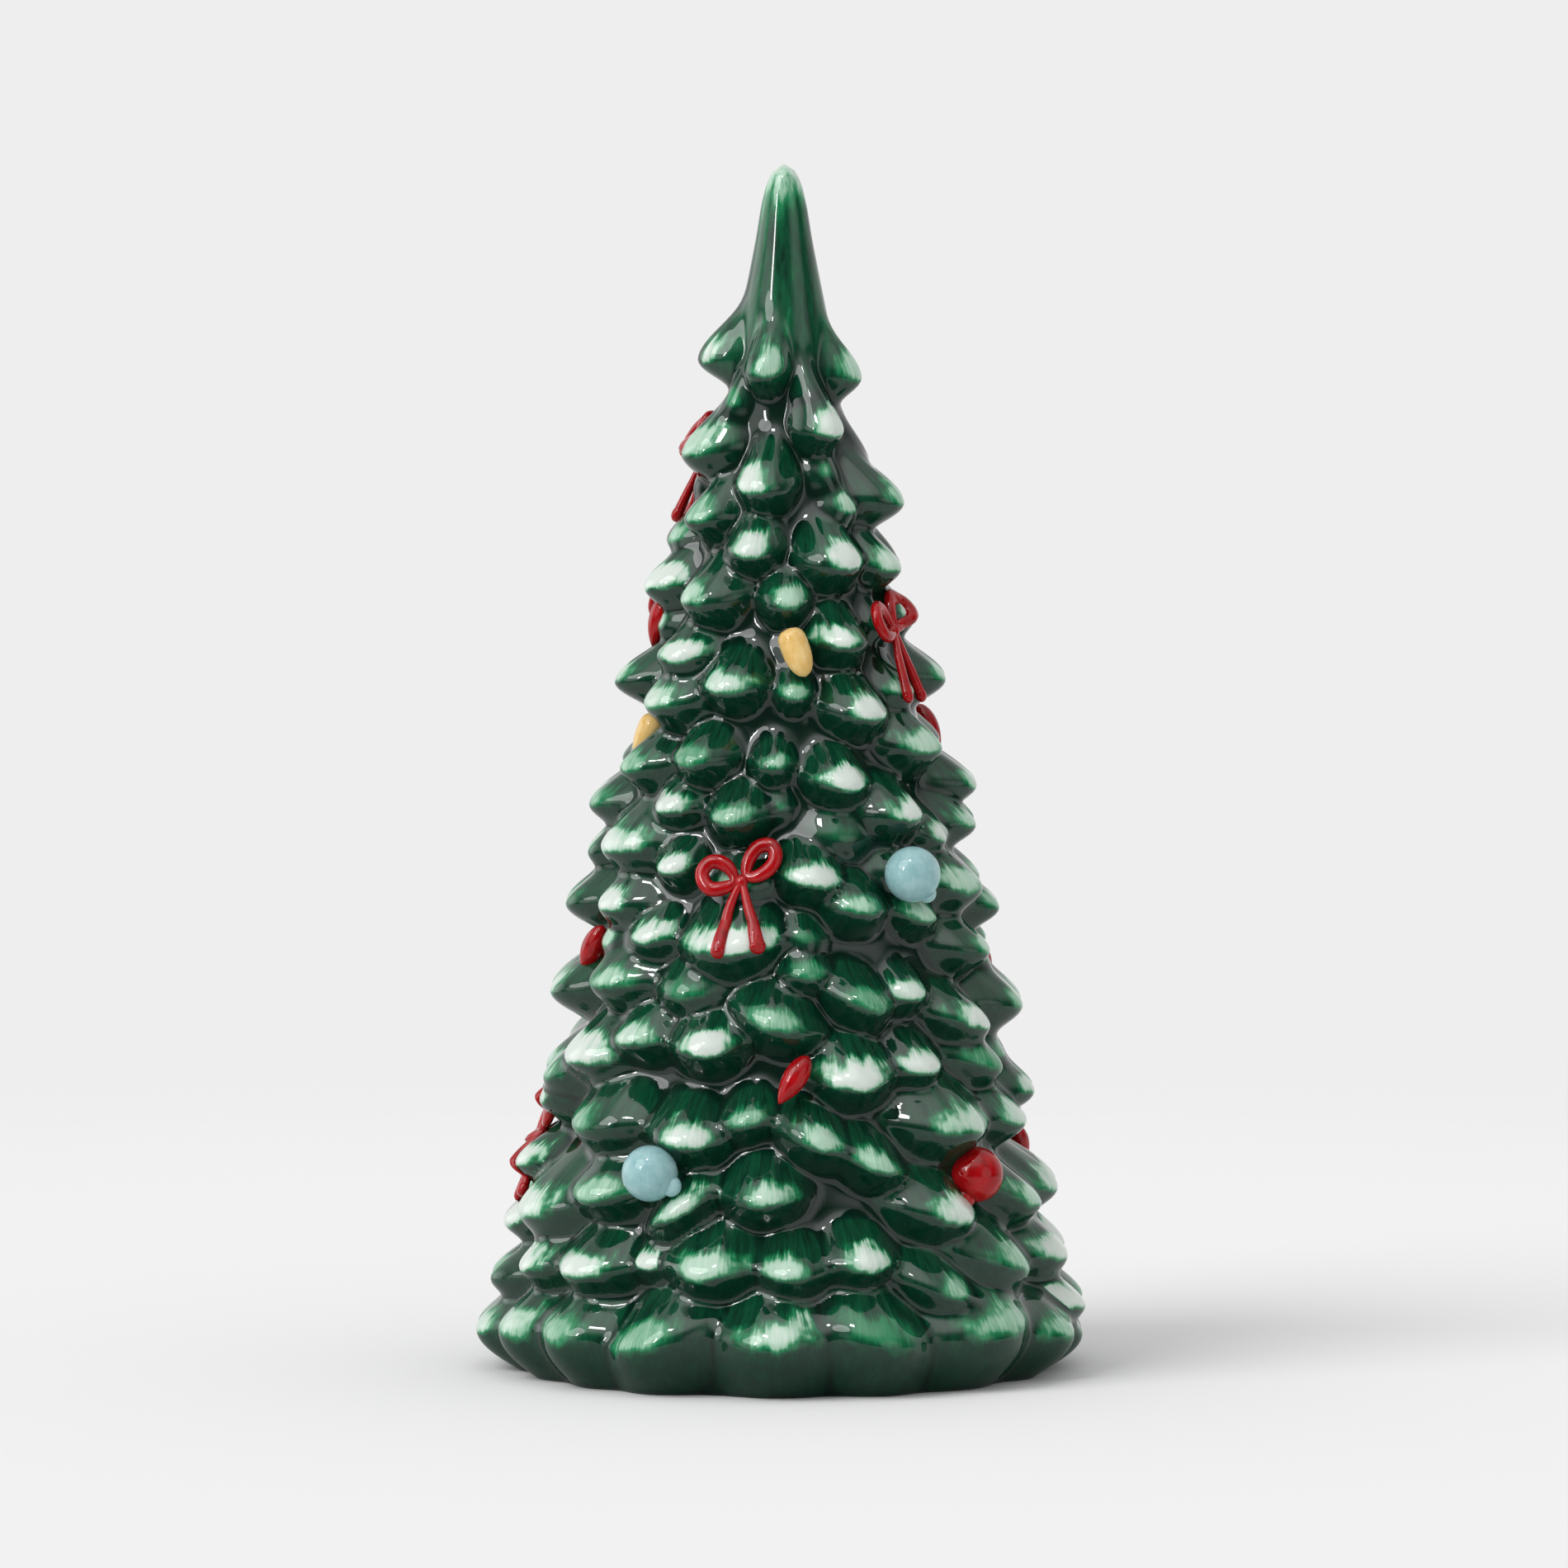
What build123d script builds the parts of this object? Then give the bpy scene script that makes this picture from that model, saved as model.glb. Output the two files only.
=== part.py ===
"""Glazed ceramic tree figurine: one hollow slip-cast tree and the ornaments luted to it."""

from build123d import *
import math
import os

os.makedirs("parts", exist_ok=True)

# Tree body: a tapering core that carries rows of rounded branch tips
tree_height = 250.0
foot_radius = 54.4
foot_reach = 11.3
crown_reach = 7.9
slope_run = 4.6
lip_drop = 3.2
spire_run = 14.0
slim_width = 10.0
crease_softness = 1.4
crease_fillet = 1.7
spread_share = 1.32
slim_share = 0.6
slope_share = 0.62
drop_share = 0.38
lip_bow_share = 0.16
root_share = 0.6
heel_share = 0.85
foot_row_share = 0.055
foot_hang_share = 1.22
foot_heel_share = 1.25

# How full a branch is: up its slope, under its lip and towards its sides
sweep_share = 1.45
crown_sweep_share = 1.95
curl_share = 1.2
foot_curl_share = 0.75
fullness_share = 2.1
feather_share = 1.3

# Core radius as a share of the foot radius, at shares of the height
core_shares = [
    (0.000, 0.955), (0.028, 0.980), (0.080, 0.929), (0.160, 0.854), (0.240, 0.782), (0.320, 0.718),
    (0.400, 0.646), (0.480, 0.571), (0.560, 0.493), (0.640, 0.396), (0.720, 0.304),
    (0.780, 0.232), (0.830, 0.178), (0.860, 0.154), (0.900, 0.127), (0.940, 0.102),
    (0.970, 0.082), (0.986, 0.061), (0.996, 0.032), (1.000, 0.012),
]

# Branches on the front half of the tree; the back half mirrors it.
# Turn from the front, share of the height, half width in turn, tilt of the lip, share of the reach
branch_shares = [
    (-84, 0.036, 9, 0, 1.00), (-66, 0.044, 10, 0, 0.95), (-47, 0.047, 10, 0, 1.00),
    (-26, 0.046, 11, 14, 1.00), (-2, 0.048, 11, 0, 1.00), (19, 0.050, 11, -10, 1.00),
    (45, 0.050, 14, 4, 1.00), (67, 0.040, 10, 0, 1.00), (84, 0.030, 9, 0, 0.82),
    (-83, 0.078, 8, 0, 1.00), (-64, 0.095, 9, 0, 0.95), (-46, 0.097, 10, 0, 1.00),
    (-31, 0.105, 5, 0, 0.80), (-16, 0.102, 10, 0, 1.00), (2, 0.101, 8, 0, 0.95),
    (17, 0.108, 8, 0, 0.95), (35, 0.082, 9, -14, 0.90), (52, 0.100, 13, -10, 1.00),
    (76, 0.100, 11, 0, 1.00), (79, 0.058, 9, 0, 1.05),
    (-86, 0.124, 8, 0, 0.95), (-68, 0.140, 14, 0, 1.00), (-46, 0.159, 10, 0, 1.00),
    (-24, 0.148, 8, 25, 0.95), (-5, 0.160, 9, 0, 1.00), (37, 0.144, 11, -6, 1.00),
    (65, 0.148, 10, -8, 1.00), (82, 0.154, 10, 0, 1.00),
    (-84, 0.174, 9, 0, 1.00), (-49, 0.214, 13, 0, 1.00), (-25, 0.206, 10, -6, 1.00),
    (-9, 0.222, 7, 10, 0.85), (7, 0.206, 9, -16, 1.00), (21, 0.186, 8, -16, 1.00),
    (44, 0.212, 14, 0, 1.00), (66, 0.214, 10, 0, 1.00), (81, 0.234, 9, 0, 0.95),
    (-77, 0.228, 9, 0, 0.85), (-32, 0.172, 9, 0, 0.55), (54, 0.174, 9, 0, 0.55),
    (-58, 0.268, 12, 0, 1.00), (-40, 0.285, 9, 0, 1.00), (-21, 0.280, 10, 0, 1.00),
    (-2, 0.300, 11, -14, 1.00), (18, 0.254, 11, 0, 1.00), (37, 0.263, 8, 0, 0.90),
    (60, 0.260, 10, -8, 0.90), (-72, 0.249, 10, 0, 0.95), (78, 0.265, 9, 0, 0.50),
    (-52, 0.329, 12, 0, 1.00), (-78, 0.318, 11, 0, 1.02), (6, 0.340, 7, 0, 0.90),
    (21, 0.316, 9, -12, 1.00), (37, 0.322, 7, 0, 0.90), (55, 0.296, 10, -8, 1.00),
    (79, 0.306, 12, 0, 1.05), (-28, 0.324, 10, 0, 0.70),
    (-42, 0.367, 9, 0, 0.85), (-16, 0.361, 14, 2, 1.00),
    (6, 0.368, 7, -6, 0.60), (22, 0.392, 10, -4, 1.00), (44, 0.384, 8, -8, 0.90),
    (62, 0.354, 10, 0, 1.00), (78, 0.344, 9, 0, 0.55), (-60, 0.360, 9, 0, 0.60),
    (-56, 0.392, 11, 0, 0.95), (-80, 0.390, 11, 0, 1.05), (-36, 0.424, 8, 0, 1.00),
    (8, 0.417, 10, -6, 1.00), (-14, 0.410, 10, 0, 0.55), (64, 0.405, 13, 0, 1.00),
    (82, 0.386, 9, 0, 1.00), (38, 0.420, 9, 0, 0.60),
    (-58, 0.440, 15, 0, 1.00), (-40, 0.473, 9, 0, 0.90), (-16, 0.466, 10, 0, 1.00),
    (-2, 0.474, 6, 0, 0.45), (39, 0.466, 12, 0, 1.00), (57, 0.448, 8, 0, 0.90),
    (72, 0.456, 10, 0, 1.00), (-80, 0.472, 11, 0, 1.00), (20, 0.450, 12, -4, 0.45),
    (-82, 0.432, 9, 0, 0.90),
    (-57, 0.504, 12, 0, 1.00), (-31, 0.512, 11, 0, 1.00), (-4, 0.508, 8, 0, 0.90),
    (19, 0.494, 11, -4, 1.00), (55, 0.520, 13, 0, 1.00), (80, 0.488, 11, 0, 1.05),
    (-80, 0.514, 10, 0, 0.40),
    (-48, 0.558, 15, 0, 1.00), (-21, 0.572, 13, 0, 1.00), (4, 0.566, 8, 0, 0.95),
    (29, 0.550, 13, -4, 1.00), (54, 0.566, 10, 0, 0.80), (78, 0.576, 12, 0, 0.95),
    (-78, 0.574, 12, 0, 1.08),
    (-48, 0.596, 14, 0, 0.95), (26, 0.608, 13, 0, 1.00), (4, 0.602, 8, 0, 0.35),
    (74, 0.626, 11, 0, 0.80), (-76, 0.620, 11, 0, 0.60), (52, 0.620, 9, 0, 0.70),
    (-38, 0.642, 17, 0, 1.00), (0, 0.640, 12, 0, 1.00), (-76, 0.652, 15, 0, 1.00),
    (26, 0.672, 18, 0, 1.00), (60, 0.668, 13, 0, 1.00), (86, 0.674, 12, 0, 0.55),
    (-17, 0.682, 15, 0, 1.00), (-49, 0.708, 16, 0, 1.00), (-84, 0.690, 14, 0, 0.75),
    (40, 0.716, 14, 0, 0.60),
    (-12, 0.734, 19, 0, 1.05), (68, 0.722, 18, 0, 1.15), (30, 0.744, 14, 0, 0.50),
    (-68, 0.762, 24, 0, 1.00), (28, 0.780, 19, 0, 1.05), (-88, 0.734, 14, 0, 0.40),
    (88, 0.756, 20, 0, 0.35),
    (-17, 0.828, 22, 0, 1.00), (70, 0.824, 22, 0, 1.08), (-82, 0.834, 24, 0, 1.05),
    (22, 0.808, 14, 0, 0.70), (-50, 0.802, 14, 0, 0.60),
]
spire_start_share = 0.60

# Casting: the wall behind the branches, the flat unglazed foot and the vent in the floor
wall_thickness = 3.0
floor_thickness = 4.0
foot_ring_width = 7.0
foot_recess = 1.5
vent_radius = 5.0
cavity_top_share = 0.80
cut_overrun = 1.0

# How finely the lofted skin follows the branches
quarter_points = 24
outline_start_angle = 20.0
seam_kink_shares = (0.0, 0.00005)
quarter_angle = 90.0
section_count = 62
tip_section_shares = [0.990, 0.996, 1.000]

# Ornaments: flats left on the branches carry them
seat_gap = 0.5
seat_margin = 2.6
seat_blend = 4.5
seat_reach_angle = 75.0

bow_ribbon_radius = 1.5
bow_tail_radius = 1.3
bow_knot_radius = 2.3
bow_loop_radius = 2.4
bow_neck_radius = 1.6
bow_width = 18.5
bow_drop = 23.0
bow_lift_share = 0.25
bow_knot_shares = (0.02, 0.17)
bow_loop_shares = [(-0.30, 0.20), (0.27, 0.33)]
bow_tail_shares = [
    ((-0.06, 0.13), (-0.08, -0.13), (-0.15, -0.42)),
    ((0.10, 0.13), (0.16, -0.11), (0.27, -0.38)),
]
bow_neck_share = 0.55
bow_pad_shares = [((0.0, 0.25), (0.52, 0.25)), ((0.05, -0.13), (0.33, 0.39))]

bauble_radius = 5.9
bauble_lift_share = 0.30
bauble_cap_radius = 2.2
bauble_cap_height = 1.3

light_radius = 2.8
light_length = 11.4
light_base_radius = 2.1
light_lift_share = 0.20
light_belly_share = 0.38

bow_lean_angle = 20.0
bauble_lean_angle = 12.0
light_lean_angle = 15.0

# Node name, kind, turn from the front, share of the height, spin on the seat, how far the seat
# is turned out of the radial, share of the branches' reach it stands at
ornament_shares = [
    ("bow_front", "bow", -12.6, 0.405, 0, 0, 0.78),
    ("bow_right", "bow", 57.0, 0.609, -8, 16, 0.70),
    ("bow_low_left", "bow", -90.0, 0.188, 6, 0, 0.58),
    ("bow_high_left", "bow", -112.0, 0.750, 0, 0, 0.70),
    ("bow_back", "bow", 167.4, 0.405, 0, 0, 0.78),
    ("bow_back_high", "bow", -126.0, 0.609, -8, 0, 0.70),
    ("bauble_blue_right", "bauble", 38.0, 0.419, -135, 0, 0.72),
    ("bauble_blue_left", "bauble", -30.0, 0.179, -115, 0, 0.72),
    ("bauble_red_right", "bauble", 51.5, 0.170, 145, 0, 0.52),
    ("bauble_red_back", "bauble", -142.0, 0.422, -135, 0, 0.72),
    ("bauble_red_back_low", "bauble", 150.0, 0.190, -115, 0, 1.00),
    ("bauble_blue_back", "bauble", -128.5, 0.170, 145, 0, 0.62),
    ("light_yellow_front", "light", 5.1, 0.600, 19, 0, 0.50),
    ("light_yellow_left", "light", -68.0, 0.526, -18, 0, 0.26),
    ("light_red_front", "light", 2.3, 0.256, -32, 0, 0.55),
    ("light_red_left", "light", -70.0, 0.352, -40, 0, 0.50),
    ("light_red_high_left", "light", -82.0, 0.622, -15, 0, 0.42),
    ("light_red_low_right", "light", 108.0, 0.176, 30, 0, 0.50),
    ("light_red_right", "light", 108.0, 0.330, 20, 0, 0.40),
    ("light_red_back", "light", 185.0, 0.600, 19, 0, 0.50),
    ("light_red_back_right", "light", 126.0, 0.526, -18, 0, 0.40),
    ("light_yellow_back", "light", 182.3, 0.256, -32, 0, 0.55),
    ("light_yellow_back_right", "light", 126.0, 0.355, -40, 0, 0.50),
]


def core_radius(height):
    """Radius of the plain core at a height, between the listed shares."""
    share = min(max(height / tree_height, 0.0), 1.0)
    for (low, low_radius), (high, high_radius) in zip(core_shares, core_shares[1:]):
        if share <= high:
            mix = (share - low) / (high - low)
            return foot_radius * (low_radius + mix * (high_radius - low_radius))
    return foot_radius * core_shares[-1][1]


def branch_reach(share):
    """How far a full branch stands out of the core at a share of the height."""
    return foot_reach + (crown_reach - foot_reach) * share


def wrap(turn):
    """A turn in degrees brought to within half a turn of zero."""
    return (turn + 180.0) % 360.0 - 180.0


class Branch:
    """One rounded branch tip: a hanging lip, a swept slope above and a hollow heel below."""

    def __init__(self, turn, share, half_turn, tilt, reach_share):
        self.turn = turn
        self.height = share * tree_height
        self.reach = branch_reach(share) * reach_share
        self.radius = core_radius(self.height) + self.reach
        self.half_width = self.radius * math.radians(half_turn) * spread_share
        self.reach *= min(max(self.half_width / slim_width, slim_share), 1.0)
        self.slope = math.tan(math.radians(tilt))
        rise = max(share - spire_start_share, 0.0) / (1.0 - spire_start_share)
        self.run = slope_share * self.half_width + slope_run + spire_run * rise
        self.drop = drop_share * self.half_width + lip_drop
        self.sweep = sweep_share + crown_sweep_share * rise
        self.heel = heel_share
        self.curl = curl_share
        if share < foot_row_share:
            self.drop = max(self.drop, foot_hang_share * self.height)
            self.heel = foot_heel_share
            self.curl = foot_curl_share
        self.full = math.sqrt((self.reach + crease_fillet) ** 2 - crease_fillet**2)

    def relief(self, turn, height):
        """How far the branch stands out of the core at a turn and height."""
        across = self.radius * math.radians(wrap(turn - self.turn))
        if abs(across) >= self.half_width * max(self.heel, 1.0):
            return 0.0
        lip = self.slope * across + lip_bow_share * across * across / self.half_width
        above = height - self.height - lip
        if above >= self.run or above <= -self.drop:
            return 0.0
        if above >= 0.0:
            along = above / self.run
            swell = math.cos(math.pi / 2.0 * along) ** self.sweep
            half = self.half_width * (1.0 - (1.0 - root_share) * along)
        else:
            along = -above / self.drop
            swell = math.cos(math.pi / 2.0 * along) ** self.curl
            half = self.half_width * (1.0 - (1.0 - self.heel) * along)
        side = abs(across) / half
        if side >= 1.0:
            return 0.0
        swell *= (1.0 - side**fullness_share) ** (1.0 + feather_share * along)
        return math.hypot(self.full * swell, crease_fillet) - crease_fillet


class Seat:
    """The flat on the branches that one ornament is luted to, made of one or two oval pads."""

    def __init__(self, turn, share, facing, rise_share, lean, pads):
        height = share * tree_height
        radius = core_radius(height) + branch_reach(share) * rise_share
        place = math.radians(turn)
        angle = math.radians(turn + facing)
        tip = math.radians(lean)
        self.turn = turn
        self.height = height
        self.pads = pads
        self.tallest = max(abs(middle[1]) + half[1] for middle, half in pads)
        self.origin = Vector(radius * math.sin(place), -radius * math.cos(place), height)
        self.across = Vector(math.cos(angle), math.sin(angle), 0)
        self.out = Vector(
            math.cos(tip) * math.sin(angle), -math.cos(tip) * math.cos(angle), math.sin(tip)
        )
        self.up = self.out.cross(self.across)
        self.plane = Plane(
            origin=self.origin + self.out * seat_gap, x_dir=self.across, z_dir=self.out
        )

    def blend(self, turn, height, radius):
        """The skin's radius after the flat is let in at a turn and height."""
        if abs(height - self.height) > self.tallest + seat_margin + seat_blend:
            return radius
        if abs(wrap(turn - self.turn)) > seat_reach_angle:
            return radius
        angle = math.radians(turn)
        ray = Vector(math.sin(angle), -math.cos(angle), 0)
        flat = (self.out.dot(self.origin) - self.out.Z * height) / self.out.dot(ray)
        offset = ray * flat + Vector(0, 0, height) - self.origin
        wide = offset.dot(self.across)
        tall = offset.dot(self.up)
        edge = 1.0
        for middle, half in self.pads:
            oval = math.hypot((wide - middle[0]) / half[0], (tall - middle[1]) / half[1])
            edge = min(edge, ((oval - 1.0) * min(half) - seat_margin) / seat_blend)
        if edge >= 1.0:
            return radius
        share = 1.0 if edge <= 0.0 else 0.5 + 0.5 * math.cos(math.pi * edge)
        return radius + share * (flat - radius)


pads = {
    "bow": [
        ((middle[0] * bow_width, middle[1] * bow_drop), (half[0] * bow_width, half[1] * bow_drop))
        for middle, half in bow_pad_shares
    ],
    "bauble": [((0, 0), (bauble_radius + bauble_cap_height, bauble_radius + bauble_cap_height))],
    "light": [((0, 0), (light_radius + light_base_radius, light_length / 2.0))],
}
leans = {"bow": bow_lean_angle, "bauble": bauble_lean_angle, "light": light_lean_angle}

branches = []
for turn, share, half_turn, tilt, reach_share in branch_shares:
    branches.append(Branch(turn, share, half_turn, tilt, reach_share))
    branches.append(Branch(180.0 - turn, share, half_turn, -tilt, reach_share))

seats = {}
for name, kind, turn, share, spin, facing, rise_share in ornament_shares:
    seats[name] = Seat(turn, share, facing, rise_share, leans[kind], pads[kind])


def skin_radius(turn, height):
    """Outer radius of the tree at a turn and height."""
    swell = 0.0
    for branch in branches:
        relief = branch.relief(turn, height)
        if relief > 0.0:
            swell += math.exp(relief / crease_softness) - 1.0
    radius = core_radius(height) + crease_softness * math.log(1.0 + swell)
    for seat in seats.values():
        radius = seat.blend(turn, height, radius)
    return radius


def skin_point(turn, height):
    """Point of the skin at a turn and height."""
    radius = skin_radius(turn, height)
    angle = math.radians(turn)
    return Vector(radius * math.sin(angle), -radius * math.cos(angle), height)


def skin_outline(height, kink_share):
    """The closed outline round the tree at a height, as four splines with a kink where they meet."""
    edges = []
    for quarter in range(4):
        start = outline_start_angle + quarter_angle * quarter
        step = quarter_angle / quarter_points
        points = [skin_point(start + step * mark, height) for mark in range(quarter_points + 1)]
        tangents = []
        for turn in (start, start + quarter_angle):
            ahead = skin_point(turn + step / 2.0, height)
            behind = skin_point(turn - step / 2.0, height)
            tangents.append((ahead - behind) * quarter_points)
        outward = Vector(tangents[1].Y, -tangents[1].X, 0)
        tangents[1] = tangents[1] + outward * kink_share
        marks = [mark / quarter_points for mark in range(quarter_points + 1)]
        edges.append(Edge.make_spline(points, tangents=tangents, parameters=marks, scale=False))
    return Wire(edges)


def tree_skin():
    """The skin through all its outlines, with a hair's kink at the seams where smooth ones won't loft."""
    for kink_share in seam_kink_shares:
        try:
            return Solid.make_loft([skin_outline(height, kink_share) for height in section_heights])
        except Exception as trouble:
            print("outlines with a seam kink of", kink_share, "do not loft:", trouble)
    raise ValueError("the outlines of the skin do not loft")


section_heights = [tree_height * step / section_count for step in range(section_count)]
section_heights = [height for height in section_heights if height < tip_section_shares[0] * tree_height]
section_heights += [share * tree_height for share in tip_section_shares]

floor_top = foot_recess + floor_thickness
cavity_top = cavity_top_share * tree_height
hollow_outline = [
    (0, -cut_overrun),
    (foot_radius - foot_ring_width, -cut_overrun),
    (foot_radius - foot_ring_width, foot_recess),
    (vent_radius, foot_recess),
    (vent_radius, floor_top),
    (core_radius(floor_top) - wall_thickness, floor_top),
]
for share, radius_share in core_shares:
    if floor_top < share * tree_height < cavity_top:
        hollow_outline.append((radius_share * foot_radius - wall_thickness, share * tree_height))
hollow_outline.append((core_radius(cavity_top) - wall_thickness, cavity_top))
hollow_outline.append((0, cavity_top + core_radius(cavity_top) - wall_thickness))

with BuildPart() as tree_body:
    add(tree_skin(), clean=False)
    with BuildSketch(Plane.XZ):
        with BuildLine():
            Polyline(*hollow_outline, close=True)
        make_face()
    revolve(axis=Axis.Z, clean=False, mode=Mode.SUBTRACT)

tree_body.part.label = "tree_body"
export_step(tree_body.part, "parts/tree_body.step")


def loop_path(knot, middle):
    """Tangent points and crowns of one egg-shaped loop, narrow at the knot and round at its end."""
    reach = math.dist(knot, middle)
    along = ((middle[0] - knot[0]) / reach, (middle[1] - knot[1]) / reach)
    neck = (
        knot[0] + bow_neck_share * reach * along[0],
        knot[1] + bow_neck_share * reach * along[1],
    )
    lean = (bow_loop_radius - bow_neck_radius) / math.dist(neck, middle)
    side = math.sqrt(1.0 - lean * lean)
    ends = []
    necks = []
    for hand in (side, -side):
        out = (lean * along[0] - hand * along[1], lean * along[1] + hand * along[0])
        ends.append((middle[0] + bow_loop_radius * out[0], middle[1] + bow_loop_radius * out[1]))
        necks.append((neck[0] + bow_neck_radius * out[0], neck[1] + bow_neck_radius * out[1]))
    far = (middle[0] + bow_loop_radius * along[0], middle[1] + bow_loop_radius * along[1])
    near = (neck[0] - bow_neck_radius * along[0], neck[1] - bow_neck_radius * along[1])
    return necks, ends, far, near


bow_lift = bow_ribbon_radius * bow_lift_share
bow_plane = Plane.XY.offset(bow_lift)
knot = (bow_knot_shares[0] * bow_width, bow_knot_shares[1] * bow_drop)

with BuildPart() as bow:
    for wide, tall in bow_loop_shares:
        necks, ends, far, near = loop_path(knot, (wide * bow_width, tall * bow_drop))
        with BuildLine(bow_plane) as loop_line:
            Line(necks[0], ends[0])
            ThreePointArc(ends[0], far, ends[1])
            Line(ends[1], necks[1])
            ThreePointArc(necks[1], near, necks[0])
        loop_wire = loop_line.wire()
        loop_start = loop_line.edges().filter_by(GeomType.LINE)[0]
        with BuildSketch(Plane(origin=loop_start @ 0, z_dir=loop_start % 0)):
            Circle(bow_ribbon_radius)
        sweep(path=loop_wire)
    with Locations((knot[0], knot[1], bow_lift)):
        Sphere(bow_knot_radius)
    for tail in bow_tail_shares:
        tail_points = [(wide * bow_width, tall * bow_drop) for wide, tall in tail]
        with BuildLine(bow_plane) as tail_line:
            ThreePointArc(*tail_points)
        tail_wire = tail_line.wire()
        with BuildSketch(Plane(origin=tail_wire @ 0, z_dir=tail_wire % 0)):
            Circle(bow_tail_radius)
        sweep(path=tail_wire)
        with Locations((tail_points[-1][0], tail_points[-1][1], bow_lift)):
            Sphere(bow_tail_radius)
    split(bisect_by=Plane.XY, keep=Keep.TOP)

bauble_lift = bauble_radius * bauble_lift_share
cap_foot = math.sqrt(bauble_radius**2 - bauble_cap_radius**2)

with BuildPart() as bauble:
    with BuildSketch(Plane.XY.offset(bauble_lift)):
        with BuildLine():
            ThreePointArc((0, -bauble_radius), (bauble_radius, 0), (bauble_cap_radius, cap_foot))
            Line((bauble_cap_radius, cap_foot), (bauble_cap_radius, bauble_radius + bauble_cap_height))
            Line((bauble_cap_radius, bauble_radius + bauble_cap_height), (0, bauble_radius + bauble_cap_height))
            Line((0, bauble_radius + bauble_cap_height), (0, -bauble_radius))
        make_face()
    revolve(axis=Axis((0, 0, bauble_lift), (0, 1, 0)))
    split(bisect_by=Plane.XY, keep=Keep.TOP)

light_lift = light_radius * light_lift_share
light_tip = -light_length / 2.0
light_base = light_length / 2.0
light_belly = light_base - light_belly_share * light_length

with BuildPart() as light:
    with BuildSketch(Plane.XY.offset(light_lift)):
        with BuildLine():
            Spline((0, light_tip), (light_radius, light_belly), (light_base_radius, light_base))
            Line((light_base_radius, light_base), (0, light_base))
            Line((0, light_base), (0, light_tip))
        make_face()
    revolve(axis=Axis((0, 0, light_lift), (0, 1, 0)))
    split(bisect_by=Plane.XY, keep=Keep.TOP)

shapes = {"bow": bow.part, "bauble": bauble.part, "light": light.part}

for name, kind, turn, share, spin, facing, rise_share in ornament_shares:
    seat_place = seats[name].plane.location * Location((0, 0, 0), (0, 0, spin))
    with BuildPart() as ornament:
        add(shapes[kind].moved(seat_place))
    ornament.part.label = name
    export_step(ornament.part, f"parts/{name}.step")
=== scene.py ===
"""Looks of a glazed ceramic tree figurine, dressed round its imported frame."""

import logging
import math
from dataclasses import dataclass, field
from enum import Enum
from typing import Any, Callable, Optional, Union

import bmesh
import bpy
import numpy as np
from mathutils import Matrix, Vector


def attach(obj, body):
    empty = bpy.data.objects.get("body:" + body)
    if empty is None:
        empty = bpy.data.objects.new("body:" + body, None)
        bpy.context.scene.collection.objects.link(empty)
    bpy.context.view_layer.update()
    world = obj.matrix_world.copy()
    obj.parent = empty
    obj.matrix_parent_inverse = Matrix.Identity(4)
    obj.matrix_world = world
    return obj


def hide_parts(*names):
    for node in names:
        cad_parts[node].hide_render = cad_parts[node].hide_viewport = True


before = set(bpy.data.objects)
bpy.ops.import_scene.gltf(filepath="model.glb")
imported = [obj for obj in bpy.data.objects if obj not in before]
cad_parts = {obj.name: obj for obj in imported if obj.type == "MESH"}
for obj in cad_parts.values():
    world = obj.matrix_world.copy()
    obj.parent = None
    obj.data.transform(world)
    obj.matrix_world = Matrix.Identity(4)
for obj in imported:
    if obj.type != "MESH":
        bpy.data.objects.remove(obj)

log = logging.getLogger("ceramic_tree")

MM = 0.001
BODY = "root"
Colour = tuple[float, float, float]
Pair = tuple[float, float]
Material = bpy.types.Material
Shape = bmesh.types.BMesh
Socket = bpy.types.NodeSocket
Number = Union["Value", float]

# Core radius as a share of the foot radius, at shares of the height
CORE_SHARES = (
    (0.000, 0.955), (0.028, 0.980), (0.080, 0.929), (0.160, 0.854), (0.240, 0.782), (0.320, 0.718),
    (0.400, 0.646), (0.480, 0.571), (0.560, 0.493), (0.640, 0.396), (0.720, 0.304),
    (0.780, 0.232), (0.830, 0.196), (0.860, 0.178), (0.900, 0.142), (0.940, 0.106),
    (0.970, 0.082), (0.986, 0.061), (0.996, 0.032), (1.000, 0.000),
)

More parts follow.
